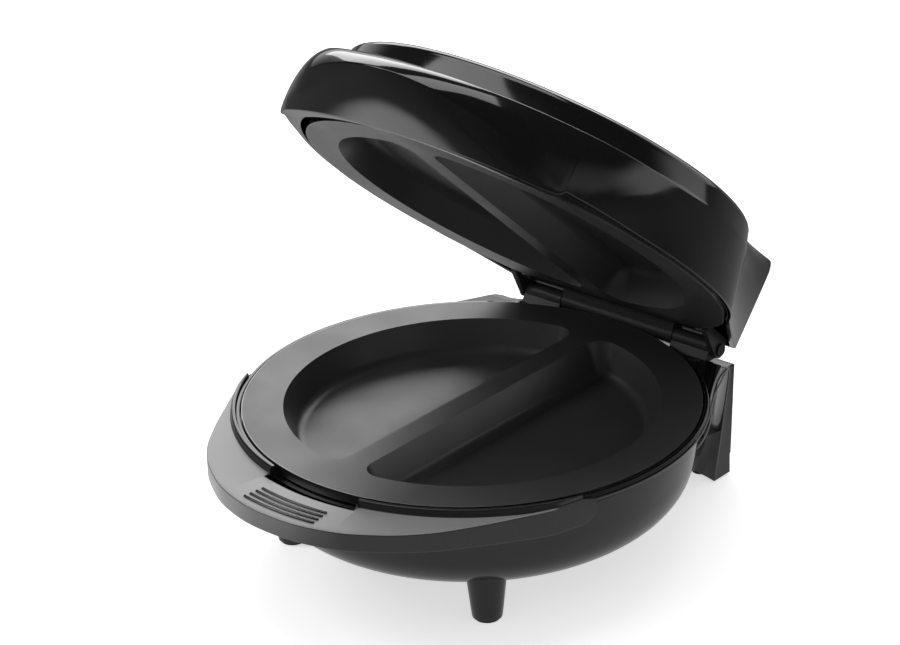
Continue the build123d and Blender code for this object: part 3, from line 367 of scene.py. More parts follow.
for r, z in bowl_profile:
    for step in range(ROUND):
        angle = math.tau * step / ROUND
        turn = min(angle, math.tau - angle)
        x, y = r * math.sin(angle), -r * math.cos(angle)
        height = z
        if z > NOTCH_DEPTH and r > 104 and (turn < notch or (abs(x) < HINGE_CUT_HALF and y > 80)):
            height = NOTCH_DEPTH if turn < notch else HINGE_CUT_DEPTH
        housing_points.append((x, y, height))
housing_faces = grid_faces(len(bowl_profile), ROUND)


def between(table, at):
    """Values of the table at this place, read straight between its rows."""
    for near, far in zip(table, table[1:]):
        if at <= far[0]:
            t = max(0.0, (at - near[0]) / (far[0] - near[0]))
            return [a + (b - a) * t for a, b in zip(near[1:], far[1:])]
    return list(table[-1][1:])


def swept(start, waist, end, count):
    """Points along a side that sweeps back from start to end."""
    line = []
    for step in range(count):
        t = step / (count - 1)
        line.append((
            (1 - t) ** 2 * start[0] + 2 * t * (1 - t) * waist[0] + t**2 * end[0],
            (1 - t) ** 2 * start[1] + 2 * t * (1 - t) * waist[1] + t**2 * end[1]))
    return line


def polar(radius, degrees):
    """Point at this radius, the angle counted from the front towards +X."""
    return (radius * math.sin(math.radians(degrees)), -radius * math.cos(math.radians(degrees)))


# The rear block: two feet with an arch between them, then rings up to the shoulders.
FIN_TOP = ((60, -2.35), (97.5, -2.35), (100.5, -3.1), (104, -5.1), (108, -8.1), (112, -8.9), (119, -9.75))
BLOCK_FRONT = (         # height, radius at which the block ends inside the bowl's wall, clear of the plate
    (-65, 98), (-52, 98), (-40, 94.2), (-25, 100.2), (-12, 102.4), (-6.6, 106.2), (0, 106.2),
)
BLOCK_LEVELS = (        # height, front, waist, front edge of the rear strip, rear corner
    (-65.0, (40, 104), (52, 104.2), (62.7, 100.9), (62.7, 113.4)),
    (-64.6, (39.6, 103.6), (52, 103.8), (62.7, 100.9), (62.7, 113.4)),
    (-55.0, (47, 99.5), (55.5, 102.6), (62.7, 103.0), (62.7, 113.9)),
    (-40.0, (60, 90), (62, 101), (62.7, 106.3), (62.7, 114.8)),
    (-25.0, (73.5, 78), (67.5, 92.5), (62.7, 109.6), (62.7, 115.6)),
    (-12.0, (84, 67), (72.6, 86), (62.7, 112.4), (62.7, 116.3)),
    (-6.6, polar(108.3, 127), (74, 84), (62.7, 112.9), (62.7, 116.5)),
    (-2.9, polar(108.5, 127), (74, 84), (62.7, 112.9), (62.7, 116.5)),
    (-2.35, polar(107.9, 127), (73.5, 83.8), (62.2, 112.4), (62.2, 116.0)),
)
ARCH_HALF = 36
SIDE_POINTS = 17
FRONT_STEPS = 16
for side in (-1, 1):
    first = len(housing_points)
    for height, front, waist, strip, corner in BLOCK_LEVELS[:3]:
        sunk = 0.25 if height == -55.0 else 0       # the foot's top is hidden inside the block
        line = [(ARCH_HALF, front[1] + sunk)]
        line += [(x - sunk, y + sunk) for x, y in swept(front, waist, strip, SIDE_POINTS)]
        line += [(corner[0] - sunk, corner[1] - sunk), (ARCH_HALF, corner[1] - sunk)]
        housing_points += [(side * x, y, height + 2 * sunk) for x, y in line]
    housing_faces += capped_faces(3, len(line), first)
first = len(housing_points)
for height, front, waist, strip, corner in BLOCK_LEVELS[2:]:
    turn = math.degrees(math.atan2(front[0], -front[1]))
    reach = between(BLOCK_FRONT, height)[0]
    inner = [polar(reach, 180 + (turn - 180) * step / FRONT_STEPS) for step in range(FRONT_STEPS + 1)]
    half = inner + swept(front, waist, strip, SIDE_POINTS) + [corner]
    ring = half + [(20, corner[1]), (-20, corner[1])] + [(-x, y) for x, y in reversed(half[1:])]
    for x, y in ring:
        fin = between(FIN_TOP, y)[0] - (0.5 if height == -2.9 else 0)
        housing_points.append((x, y, min(height, fin) if height > -12 else height))
housing_faces += capped_faces(len(BLOCK_LEVELS) - 2, len(ring), first)

# The front legs, lightly tapered, with a small round at the foot.
LEG_X, LEG_Y = 58.2, -61.3
LEG_PROFILE = [(AXIS, -65), (6.3, -65), (6.75, -64.8), (6.9, -64.3), (7.4, -60), (8.5, -50), (9.6, -40), (9.6, -36),
               (AXIS, -36)]
LEG_ROUND = 40
for side in (-1, 1):
    first = len(housing_points)
    for r, z in LEG_PROFILE:
        for step in range(LEG_ROUND):
            angle = math.tau * step / LEG_ROUND
            housing_points.append((side * LEG_X + r * math.cos(angle), LEG_Y + r * math.sin(angle), z))
    housing_faces += grid_faces(len(LEG_PROFILE), LEG_ROUND, first)
mesh_piece("lower_housing_shell", based(housing_points), housing_faces, BLACK_GLOSS, "base",
           ["lower_housing"])


def bead(name, points, radius):
    """Round bead of the base housing along these points, closed at both ends."""
    curve = bpy.data.curves.new(name, "CURVE")
    curve.dimensions, curve.bevel_depth, curve.bevel_resolution, curve.use_fill_caps = "3D", radius * MM, 3, True
    line = curve.splines.new("POLY")
    line.points.add(len(points) - 1)
    for knot, point in zip(line.points, based(points)):
        knot.co = (*point, 1)
    holder = bpy.data.objects.new(name, curve)
    scene.collection.objects.link(holder)
    mesh = bpy.data.meshes.new_from_object(holder.evaluated_get(bpy.context.evaluated_depsgraph_get()))
    bpy.data.objects.remove(holder)
    mesh_piece(name, [v.co for v in mesh.vertices], [tuple(p.vertices) for p in mesh.polygons], BEAD_PAINTED_HIGHLIGHT,
               "base", sharp=60)


# A raised bead follows the rim's lower edge round to the rear corner and down the strip. Its lighter grey is a painted
# highlight: the bright line that the edge catches is coloured into the bead.
BEAD_PAINTED_HIGHLIGHT = plastic("corner bead with painted highlight", (0.11, 0.11, 0.112), 0.28, wear=0.08)
BEAD_RADIUS, BEAD_POINTS = 0.42, 90
BEAD_LINE = [(62.75, 101.3, -63.5), (62.8, 103.1, -55), (62.8, 106.4, -40), (62.8, 109.6, -25), (62.9, 111.6, -14.5),
             (63.4, 111.2, -10.6), (65.2, 107.6, -8.3), (68.2, 101.2, -7.3), (71.8, 93.4, -6.8), (75.3, 85.4, -6.7),
             (80.2, 75.6, -6.6)]
rim_end = [(*polar(108.45, angle), -6.6) for angle in (127, 122, 117, 112, 107)]
for side, name in ((-1, "left_corner_bead"), (1, "right_corner_bead")):
    bead(name, [(side * p.x, p.y, p.z) for p in smooth_line(BEAD_LINE + rim_end, BEAD_POINTS)], BEAD_RADIUS)


# --- rubber pads ------------------------------------------------------------------------
# Four soft black pads pressed into the feet.
def paint(material, *names):
    """Give the CAD pieces of these names this material."""
    for name in names:
        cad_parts[name].material_slots[0].material = material


RUBBER = plastic("black rubber", (0.018, 0.018, 0.018), 0.75, wear=0.1, scale=600, bump=0.0002)
paint(RUBBER, "front_left_pad", "front_right_pad", "rear_left_pad", "rear_right_pad")

# --- cord gland -------------------------------------------------------------------------
# Stiff rubber grommet through the rear wall, where the mains lead comes in.
paint(plastic("stiff gland rubber", (0.020, 0.020, 0.021), 0.6, wear=0.12, scale=400, bump=0.00015), "cord_gland")

# --- terminal block, leads, thermostat and fuse -----------------------------------------
# Steatite blocks fired to a warm white, and leads in sleeves woven from glass fibre, all
# hidden under the lower plate.
STEATITE = plastic("steatite", (0.80, 0.78, 0.72), 0.42, wear=0.2, scale=260, bump=0.0003)
paint(STEATITE, "terminal_block", "thermostat")


def sleeve(name, colour):
    """Woven sleeve: two sets of fine threads crossing on the slant."""
    material, tree, shader = new_material(name)
    place, threads = object_place(tree), []
    for turn in (0.7, -0.7):
        slant = add_node(tree, "ShaderNodeMapping", {"Vector": place, "Rotation": (turn, 0.4, turn)}).outputs[0]
        threads.append(add_node(tree, "ShaderNodeTexWave", {"Vector": slant, "Scale": 420.0}).outputs["Fac"])
    weave = worked_out(tree, "MAXIMUM", *threads)
    fill(tree, shader, {
        "Base Color": mixed(tree, weave, (*(0.7 * c for c in colour), 1), (*colour, 1)), "Roughness": 0.8,
        "Normal": relief(tree, weave, 1.0, 0.0002)})
    return material


paint(sleeve("glass-fibre sleeve", (0.72, 0.70, 0.64)), "element_leads")


# --- heating element, clamps and reflector ----------------------------------------------
# A sheathed steel element, straw and brown from heat, is clamped under the plate with
# pressed steel straps, over a rolled aluminium reflector.
def metal_surface():
    """Node group: rolling or drawing lines, blotches of a second tone, and fine relief."""
    group, given = surface_group("worked metal", {
        "Colour": "Color", "Second Tone": "Color", "Blotches": "Float", "Roughness": "Float", "Lines": "Vector",
        "Spread": "Float"})
    place = object_place(group)
    along = add_node(group, "ShaderNodeMapping", {"Vector": place, "Scale": given["Lines"]}).outputs[0]
    lines = noise(group, along, 1.0, 4.0)
    blotches = slope(group, noise(group, place, 55.0, 3.0), 0.42, 0.64)
    share = worked_out(group, "MULTIPLY", blotches, given["Blotches"])
    centred = worked_out(group, "SUBTRACT", lines, 0.5)
    add_node(group, "NodeGroupOutput", {
        "Colour": mixed(group, share, given["Colour"], given["Second Tone"]),
        "Roughness": worked_out(group, "MULTIPLY_ADD", centred, given["Spread"], given["Roughness"]),
        "Height": lines})
    return group


WORKED_METAL = metal_surface()


def metal(name, colour, second, roughness, lines, blotches=0.3, bump=0.00003, metallic=1.0):
    """Metal with the shared worked surface, in these two tones."""
    material, tree, shader = new_material(name)
    surface = add_node(tree, "ShaderNodeGroup", {
        "Colour": (*colour, 1), "Second Tone": (*second, 1), "Blotches": blotches, "Roughness": roughness,
        "Lines": lines, "Spread": 0.2}, node_tree=WORKED_METAL).outputs
    fill(tree, shader, {
        "Base Color": surface["Colour"], "Roughness": surface["Roughness"], "Metallic": metallic,
        "Normal": relief(tree, surface["Height"], 0.6, bump)})
    return material


SHEATH = metal("heat-tinted sheath", (0.36, 0.34, 0.30), (0.22, 0.15, 0.09), 0.42, (300, 300, 300), blotches=0.7)
ROLLED = metal("rolled aluminium", (0.74, 0.74, 0.75), (0.62, 0.60, 0.56), 0.34, (30, 1200, 400))
STRAP = metal("pressed steel strap", (0.52, 0.52, 0.53), (0.40, 0.34, 0.26), 0.38, (1200, 60, 400))
STEEL = metal("zinc-plated screw steel", (0.58, 0.58, 0.59), (0.46, 0.46, 0.45), 0.30, (700, 700, 700))
paint(SHEATH, "lower_element")
paint(STRAP, "lower_clamps")
paint(ROLLED, "lower_reflector", "thermal_fuse")
paint(STEEL, "lower_clamp_screws", "lower_tie_screws", "thermostat_screws")

# --- lower plate ------------------------------------------------------------------------
# Die-cast aluminium with a black non-stick coating, sprayed on with a fine orange peel. The
# coating is thin on the turned outer edge, which shows as a bright line.
OPEN_TURN = math.radians(42.3)      # how far the lid stands open
HINGE_POINT = Vector((0, 110.2, -0.8))
NON_STICK_TONES = (0.034, 0.034, 0.035, 1), (0.052, 0.052, 0.052, 1)
BARE_EDGE = (0.30, 0.30, 0.31, 1)


def off_axis(tree, place):
    """Distance of the place from the upright line through its zero."""
    flat = add_node(tree, "ShaderNodeMapping", {"Vector": place, "Scale": (1, 1, 0)}).outputs[0]
    return add_node(tree, "ShaderNodeVectorMath", {0: flat}, operation="LENGTH").outputs["Value"]


def non_stick(name, swing, edge_radius, centre_y):
    """Sprayed coating on a plate that is open by this turn, with its turned edge laid bare."""
    material, tree, shader = new_material(name)
    place = object_place(tree)
    hinge, middle = (HINGE_POINT + CENTRE) * MM, Vector((0, CENTRE.y + centre_y, CENTRE.z)) * MM
    laid_down = add_node(tree, "ShaderNodeMapping", {       # turns the pattern with the plate, about its centre
        "Vector": place, "Rotation": (swing, 0, 0),
        "Location": hinge - Matrix.Rotation(swing, 3, "X") @ hinge - middle}).outputs[0]
    turned = slope(tree, off_axis(tree, laid_down), edge_radius - 0.00055, edge_radius - 0.00020)
    cooked = noise(tree, place, 34.0, 4.0)
    fill(tree, shader, {
        "Base Color": mixed(tree, turned, mixed(tree, cooked, *NON_STICK_TONES), BARE_EDGE), "Metallic": turned,
        "Roughness": slope(tree, cooked, 0.35, 0.65, 0.34, 0.42), "Specular IOR Level": 0.75,
        "Normal": relief(tree, noise(tree, place, 900.0), 0.35, 0.00010)})
    return material


paint(non_stick("lower non-stick coating", 0.0, 0.105, 0.0), "lower_plate")

# --- front handle -----------------------------------------------------------------------
# Crescent grip moulded on its own and hooked over the front of the rim. A thin standing lip
# runs round the plate on both sides of the finger notch, and four ribs stop the thumb slipping.
GRIP_GLOSS = plastic("polished grip moulding", (0.014, 0.014, 0.015), 0.16, wear=0.06)


def painted_sheen_top(name, painted_sheen_colour, top_roughness):
    """The grip's moulding with its flat top painted a lighter grey, a painted sheen standing for a soft box's
    reflection, and given a satin roughness, outside the lip and above the side band.
    """
    material = GRIP_GLOSS.copy()
    material.name = name
    tree = material.node_tree
    surface = tree.nodes["Group"].outputs
    centring = {"Vector": object_place(tree), "Location": -CENTRE * MM}
    from_centre = add_node(tree, "ShaderNodeMapping", centring).outputs[0]
    height = add_node(tree, "ShaderNodeSeparateXYZ", {0: from_centre}).outputs["Z"]
    above_band = slope(tree, height, -0.00262, -0.00248)
    outside_lip = slope(tree, off_axis(tree, from_centre), 0.1102, 0.1105)
    # Painted sheen: the flat top is coloured lighter grey in place of a soft box's reflection.
    painted_sheen_area = worked_out(tree, "MULTIPLY", above_band, outside_lip)
    rough = add_node(tree, "ShaderNodeMix", {"Factor": painted_sheen_area, "A": surface["Roughness"], "B": top_roughness})
    fill(tree, tree.nodes["Principled BSDF"], {
        "Base Color": mixed(tree, painted_sheen_area, surface["Colour"], (*painted_sheen_colour, 1)),
        "Roughness": rough.outputs["Result"]})
    return material


# The grip's top carries a painted sheen: lighter grey standing for a reflection.
GRIP_PAINTED_SHEEN = painted_sheen_top("grip moulding with painted sheen", (0.23, 0.23, 0.232), 0.32)
HANDLE_EDGE = [(0, -136), (28, -131.6), (47.8, -121.4), (64.4, -107.1), (76.8, -89.6), (85.6, -74.4), (93, -60.4),
               (99.6, -44.4), (102.2, -37.2)]
LIP_END, HANDLE_TIP = 66.0, 69.5            # angles at which the lip and the handle end
LIP_TOP = 0.85
NOTCH_RADIUS, TIP_RADIUS, HOOK_RADIUS = 113.5, 108.0, 102.5         # inner wall at the notch, at the tips, and below
SIDE_BAND = (           # angle, top and bottom of the band round the crescent's edge
    (0, -2.35, -11.2), (26, -2.35, -11.2), (36, -2.35, -12.0), (45, -2.35, -13.2), (53, -2.35, -14.2),
    (58, -1.9, -14.8), (66, -0.9, -14.0), (69.5, -2.4, -10.5),
)
edge = smooth_line([(-x, y) for x, y in reversed(HANDLE_EDGE[1:])] + HANDLE_EDGE, 400)
edge = [(math.degrees(math.atan2(p.x, -p.y)), math.hypot(p.x, p.y)) for p in edge]
angles = [HANDLE_TIP * step / 120 for step in range(-120, 121)]
angles = sorted(angles + [side * at for side in (-1, 1) for at in (
    NOTCH - 0.5, NOTCH - 0.12, NOTCH - 0.02, NOTCH + 0.02, NOTCH + 0.12, NOTCH + 0.5,
    LIP_END - 0.4, LIP_END - 0.05, LIP_END + 0.05, LIP_END + 0.4)])
handle_points = []
for angle in angles:
    outer = between(edge, angle)[0]
    top, bottom = between(SIDE_BAND, abs(angle))
    if abs(angle) < NOTCH:
        foot = NOTCH_RADIUS
        inner = [(NOTCH_RADIUS, z) for z in (-7.5, -6.5, -6.0, -5.5, -4.5, -3.5)]
    elif abs(angle) < LIP_END:
        foot = 110.0
        inner = [(108.8, -7.5), (108.8, -2.25), (107.75, -2.25), (107.75, LIP_TOP), (109.1, LIP_TOP), (109.6, 0.2)]
    else:
        foot = TIP_RADIUS
        inner = [(TIP_RADIUS, z) for z in (-7.5, -6.0, -5.5, -5.0, -4.5, -4.0)]
    foot = min(foot, outer - 0.4)
    inner = [(min(r, foot), z) for r, z in inner]
    ring = inner + [(foot, top), (max(outer - 3.0, foot + 0.02), top), (outer, top), (outer, bottom),
                    (HOOK_RADIUS, bottom), (HOOK_RADIUS, -7.5)]
    rounded = softened([(r, 0, z) for r, z in ring + ring[:1]], (
        0.2, 0.15, 0.3, 0.3, 0.2, 0.25, 0.05, 0.55, 0.9, 0.3, 0.3))
    for point in rounded[:-1]:
        handle_points.append((*polar(point.x, angle), point.z))
mesh_piece("front_handle_shell", based(handle_points),
           capped_faces(len(angles), len(handle_points) // len(angles)), GRIP_PAINTED_SHEEN, "base",
           ["front_handle"], sharp=38)


def rib_tree(material):
    """Raised arcs, one behind the other, each a half-round bar bent about the plate's centre."""
    tree = bpy.data.node_groups.new("grip ribs", "GeometryNodeTree")
    for name in ("Inner Radius", "Spacing", "Half Angle", "Bar Radius"):
        tree.interface.new_socket(name, in_out="INPUT", socket_type="NodeSocketFloat")
    tree.interface.new_socket("Geometry", in_out="OUTPUT", socket_type="NodeSocketGeometry")
    given = add_node(tree, "NodeGroupInput").outputs
    joined = add_node(tree, "GeometryNodeJoinGeometry")
    for index in range(4):
        radius = worked_out(tree, "MULTIPLY_ADD", given["Spacing"], index, given["Inner Radius"])
        arc = add_node(tree, "GeometryNodeCurveArc", {
            "Resolution": 40, "Radius": radius,
            "Start Angle": worked_out(tree, "SUBTRACT", -math.pi / 2, given["Half Angle"]),
            "Sweep Angle": worked_out(tree, "MULTIPLY", given["Half Angle"], 2.0)})
        profile = add_node(tree, "GeometryNodeCurvePrimitiveCircle", {"Resolution": 12, "Radius": given["Bar Radius"]})
        bar = add_node(tree, "GeometryNodeCurveToMesh", {
            "Curve": arc.outputs["Curve"], "Profile Curve": profile.outputs["Curve"], "Fill Caps": True})
        tree.links.new(bar.outputs["Mesh"], joined.inputs["Geometry"])
    realized = add_node(tree, "GeometryNodeRealizeInstances", {0: joined.outputs[0]})
    painted = add_node(tree, "GeometryNodeSetMaterial", {"Geometry": realized.outputs[0], "Material": material})
    add_node(tree, "NodeGroupOutput", {"Geometry": painted.outputs[0]})
    return tree


def grown(name, tree, values, place, body):
    """Piece grown by the tree from these values and moved to place, riding on body."""
    seed = bpy.data.objects.new(name + "_seed", bpy.data.meshes.new(name + "_seed"))
    scene.collection.objects.link(seed)
    modifier = seed.modifiers.new("grow", "NODES")
    modifier.node_group = tree
    for item in tree.interface.items_tree:
        if item.item_type == "SOCKET" and item.in_out == "INPUT":
            modifier[item.identifier] = values[item.name]
    mesh = bpy.data.meshes.new_from_object(seed.evaluated_get(bpy.context.evaluated_depsgraph_get()))
    seed.modifiers.remove(modifier)
    bpy.data.objects.remove(seed)
    mesh.name = name
    mesh.transform(Matrix.Translation(place))
    put_in_place(name, mesh, body, (), 40)


RIB_SIZES = {"Inner Radius": 0.1208, "Spacing": 0.0033, "Half Angle": 0.155, "Bar Radius": 0.0008}
GRIP_TOP = (CENTRE + Vector((0, 0, -2.35))) * MM
grown("grip_ribs", rib_tree(GRIP_GLOSS), RIB_SIZES, GRIP_TOP, "base")

# --- hinge bracket and pin on the base --------------------------------------------------
# Pressed steel, dark powder coat, two knuckles screwed to the deck behind the plate. The
# hinge pin is blackened steel.
POWDER_COAT = metal("dark powder coat", (0.030, 0.030, 0.032), (0.040, 0.040, 0.041), 0.46, (1500, 1500, 1500),
                    bump=0.00006, metallic=0.0)
BLACKENED = metal("blackened pin steel", (0.050, 0.050, 0.052), (0.035, 0.034, 0.033), 0.36, (40, 900, 900))
paint(POWDER_COAT, "lower_hinge_bracket")
paint(BLACKENED, "hinge_pin")
paint(STEEL, "lower_hinge_screws")

# --- lid housing ------------------------------------------------------------------------
# One polished black moulding: a drum swept back to the hinge, whose lower band spreads into
# a finger grip in front. The crease between band and drum fades out towards the sides.
SWING = Matrix.Translation(HINGE_POINT) @ Matrix.Rotation(-OPEN_TURN, 4, "X") @ Matrix.Translation(-HINGE_POINT)


def swung(points):
    """Points of the shut lid, opened about the hinge, in the frame's metres."""
    return based([SWING @ Vector(p) for p in points])


def evenly(table, at, spread):
    """Values of the table averaged over this spread, so that its corners are rounded off."""
    weights = [1 + math.cos(math.pi * k / 9) for k in range(-8, 9)]
    samples = [between(table, abs(at + spread * k / 8)) for k in range(-8, 9)]
    return [sum(w * v for w, v in zip(weights, values)) / sum(weights) for values in zip(*samples)]


def lid_top(y):
    """Height of the lid's top, which rises a little towards the hinge."""
    return 46.0 + 0.01165 * (y + 90)


REAR_X, REAR_Y = 62.7, 116.5        # the lid's rear corner
CORNER_ROUND = 1.6
# Stations round the front, closer together where the finger grip ends.
FRONT_ANGLES = sorted([0.6 * step for step in range(167)] + [42.7, 43.1, 43.3, 43.5, 43.7, 43.9, 44.1, 44.25])
WALL_TABLE = ((3.0, 108.0, 124.0), (33.0, 102.0, 127.0), (41.0, 99.4, 128.3))      # height, radius, leave angle
TOP_TABLE = ((0, 128.3), (10, 128.5), (37, 130.0), (62, 132.0), (90, 134.0))         # turn of the shoulder, leave angle


def lid_plan(radius, leave, inset=0.0):
    """Outline stations of the lid: front arc, swept side, rear corner, rear face."""
    start = Vector(polar(radius, leave))
    waist = start + 7 * Vector((math.cos(math.radians(leave)), math.sin(math.radians(leave))))
    corner = (REAR_X - inset, REAR_Y - inset)
    outline = [polar(radius, angle) for angle in FRONT_ANGLES]
    side = [polar(radius, FRONT_ANGLES[-1] + (leave - FRONT_ANGLES[-1]) * step / 40) for step in range(1, 41)]
    side += swept(start, waist, corner, 60)[1:]
    toward = (Vector(side[-1]) - Vector(side[-6])).normalized()
    turn = [Vector(corner) - toward * CORNER_ROUND, Vector(corner), Vector(corner) - Vector((CORNER_ROUND, 0))]
    side = [point for point in side if point[1] < turn[0].y - 0.2] + [tuple(turn[0])]
    outline += evenly_spaced(side, 91)[1:]
    for step in range(1, 6):
        t = step / 5
        outline.append(tuple(turn[0] * (1 - t) ** 2 + turn[1] * (2 * t * (1 - t)) + turn[2] * t**2))
    for step in range(1, 9):
        outline.append((turn[2].x * (1 - step / 8), turn[2].y))
    return outline


GRIP_TABLE = (      # angle, lower edge radius and height, upper edge radius and height
    (0.0, 112.3, -0.6, 132.0, 19.8), (4.9, 112.5, -0.6, 131.3, 19.6), (8.6, 112.9, -0.6, 130.3, 19.2),
    (17.2, 114.6, -0.7, 127.6, 17.2), (21.8, 115.9, -0.8, 125.7, 15.4), (27.3, 117.3, -0.9, 123.4, 12.9),
    (33.4, 118.6, -1.0, 120.3, 9.8), (39.3, 117.2, -0.6, 118.1, 6.2), (42.7, 116.2, 0.1, 117.1, 3.4),
    (43.5, 116.0, 1.0, 116.8, 3.2), (43.9, 115.9, 2.0, 116.7, 3.3), (44.25, 116.0, 3.0, 116.5, 3.5),
    (48.0, 114.3, 3.0, 114.8, 3.5), (52.0, 112.9, 3.0, 113.4, 3.5), (57.0, 110.4, 3.0, 110.9, 3.5),
    (62.0, 108.1, 3.0, 108.6, 3.5), (66.0, 107.7, 3.0, 108.1, 3.5), (72.0, 107.5, 3.0, 107.9, 3.5),
    (200.0, 107.5, 3.0, 107.9, 3.5),
)
CREASE_TABLE = (    # angle, radius and height of the crease, bulge of the band below it
    (0.0, 119.8, 28.8, 1.0), (8.6, 120.2, 28.6, 1.3), (17.2, 121.1, 28.3, 1.8), (20.5, 121.2, 28.3, 2.0),
    (25.0, 119.0, 29.0, 2.2), (30.0, 116.0, 29.8, 2.2), (35.0, 113.8, 30.2, 2.2), (40.0, 112.6, 30.4, 2.2),
    (43.3, 112.3, 30.5, 2.2), (50.0, 111.6, 30.7, 2.4), (55.0, 110.6, 30.8, 2.4), (60.0, 109.0, 30.9, 2.1),
    (65.0, 107.0, 31.3, 1.6), (70.0, 105.0, 31.8, 1.0), (75.0, 103.4, 32.1, 0.4), (79.0, 102.3, 32.4, 0.1),
    (86.0, 102.13, 32.5, 0.0), (200.0, 102.13, 32.5, 0.0),
)
RIM_RADIUS, DRUM_TOP, TOP_RADIUS = 108.0, 41.0, 99.4
SHOULDER = 15               # how far the shoulder reaches in over the drum
BACK_CREASE, LEDGE = 32.5, 0.9      # height of the crease at the back, and of the ledge above it
SHELL = 2.5                 # wall thickness
TOP_MIDDLE = 6              # middle of the lid's top, from front to back
rim_line = lid_plan(RIM_RADIUS, 124.0)
stations = len(rim_line)
crease_wall = lid_plan(*between(WALL_TABLE, BACK_CREASE))
ledge_wall = lid_plan(*between(WALL_TABLE, BACK_CREASE + LEDGE))
inside_top, inside = lid_plan(95.0, 128.5, SHELL), lid_plan(99.5, 127, SHELL)
inside_foot = lid_plan(105.5, 124, SHELL)
shoulder_rings = []
for turn in range(0, 91, 10):
    drawn_in = 1 - math.cos(math.radians(turn))
    shoulder_rings.append(
        (turn, lid_plan(TOP_RADIUS - SHOULDER * drawn_in, *between(TOP_TABLE, turn), 1.4 * drawn_in)))
half = []
for index in range(stations):
    rim = Vector(rim_line[index])
    if index < len(FRONT_ANGLES):
        angle = FRONT_ANGLES[index]
        out = Vector(polar(1, angle))
    else:
        angle = 200.0
        ahead = Vector(rim_line[min(index + 1, stations - 1)]) - Vector(rim_line[index - 1])
        out = Vector((ahead.y, -ahead.x)).normalized()
    low_radius, low, high_radius, high = between(GRIP_TABLE, angle)
    if angle < 40:
        high_radius, high = evenly(GRIP_TABLE, angle, 3.0)[2:]
    elif angle > 45:
        low_radius, low, high_radius, high = evenly(GRIP_TABLE, angle, min(9.0, angle - 44.4))
    bottom, bottom_height = (110.6, low) if low < 2.9 else (106.6, 3.0)
    foot = (110.5, 2.9) if low < 2.9 else (106.3, 3.0)      # the grip's inner wall clears the lip below
    low_point, high_point = rim + out * (low_radius - RIM_RADIUS), rim + out * (high_radius - RIM_RADIUS)
    face = (low_point + high_point) / 2 + out * 0.9 * min(1, (high - low) / 12)
    crease_radius, crease_height, bulge = evenly(CREASE_TABLE, angle, 3.0 + 0.22 * min(angle, 30))
    crease, ledge = crease_wall[index], ledge_wall[index]
    if angle < 92:
        crease = out * crease_radius
        ledge = out * between(WALL_TABLE, crease_height + LEDGE)[0]
    chord = Vector((Vector(crease).length - high_radius, crease_height - high)).normalized() * bulge * 2
    control = Vector((*((high_point + Vector(crease)) / 2 + out * chord.y), (high + crease_height) / 2 - chord.x))
    start, end = Vector((*high_point, high)), Vector((*crease, crease_height))
    swell = [start * (1 - t) ** 2 + control * (2 * t * (1 - t)) + end * t**2 for t in (k / 12 for k in range(1, 12))]
    line = [
        (*inside_top[index], 43.0), (*inside[index], 33.0), (*inside_foot[index], 6.0), (*inside_foot[index], 3.3),
        (*(rim - out * 2.1), 3.0), (*(rim + out * (foot[0] - RIM_RADIUS)), foot[1]),
        (*(rim + out * (bottom - RIM_RADIUS)), bottom_height), (*low_point, low),
        (*face, (low + high) / 2 - 0.7 * min(1, (high - low) / 12)), start, swell[0],
    ]
    column = softened(line, (3, 1, 0.3, 0.3, 0.2, 0.3, 0.5, 9, 0.7), 5) + swell[1:-1]
    drum = [swell[-1], end, (*ledge, crease_height + LEDGE), (*shoulder_rings[0][1][index], DRUM_TOP)]
    column += softened(drum, (0.7, 1.2), 5)
    column += [Vector((*ring[index], DRUM_TOP + (lid_top(ring[index][1]) - DRUM_TOP) * math.sin(math.radians(turn))))
               for turn, ring in shoulder_rings[1:]]
    half.append(column)
rows = len(half[0])
lid_points, lid_faces = [], []
ring_size = 2 * stations - 2
for row in range(rows):
    lid_points += [half[i][row] for i in range(stations)]
    lid_points += [Vector((-half[i][row].x, half[i][row].y, half[i][row].z)) for i in range(stations - 2, 0, -1)]
lid_faces += grid_faces(rows, ring_size)
for row, sunk, shrinks in ((0, SHELL, (0.95, 0.6)), (rows - 1, 0, (0.985, 0.93, 0.6))):
    edge_ring = lid_points[row * ring_size:(row + 1) * ring_size]
    previous = row * ring_size
    for shrink in shrinks:
        start = len(lid_points)
        for p in edge_ring:
            y = TOP_MIDDLE + (p.y - TOP_MIDDLE) * shrink
            lid_points.append(Vector((p.x * shrink, y, lid_top(y) - sunk)))
        for i in range(ring_size):
            j = (i + 1) % ring_size
            lid_faces.append((previous + i, previous + j, start + j, start + i))
        previous = start
    lid_points.append(Vector((0, TOP_MIDDLE, lid_top(TOP_MIDDLE) - sunk)))
    for i in range(ring_size):
        lid_faces.append((previous + i, previous + (i + 1) % ring_size, len(lid_points) - 1))


def bored(shell, holes):
    """The shell's mesh with round holes cut through it: centre, radius, lowest and highest point."""
    drills = []
    for x, y, radius, low, high in holes:
        work = bmesh.new()
        bmesh.ops.create_cone(work, cap_ends=True, segments=48, radius1=radius, radius2=radius, depth=high - low)
        for vertex in work.verts:
            vertex.co = swung([vertex.co + Vector((x, y, (low + high) / 2))])[0]
        bmesh.ops.recalc_face_normals(work, faces=work.faces)
        drill = bpy.data.objects.new("drill", bpy.data.meshes.new("drill"))
        work.to_mesh(drill.data)
        work.free()
        scene.collection.objects.link(drill)
        cut = shell.modifiers.new("bore", "BOOLEAN")
        cut.operation, cut.solver, cut.object = "DIFFERENCE", "EXACT", drill
        drills.append(drill)
    mesh = bpy.data.meshes.new_from_object(shell.evaluated_get(bpy.context.evaluated_depsgraph_get()))
    for drill in drills:
        bpy.data.objects.remove(drill)
    return mesh


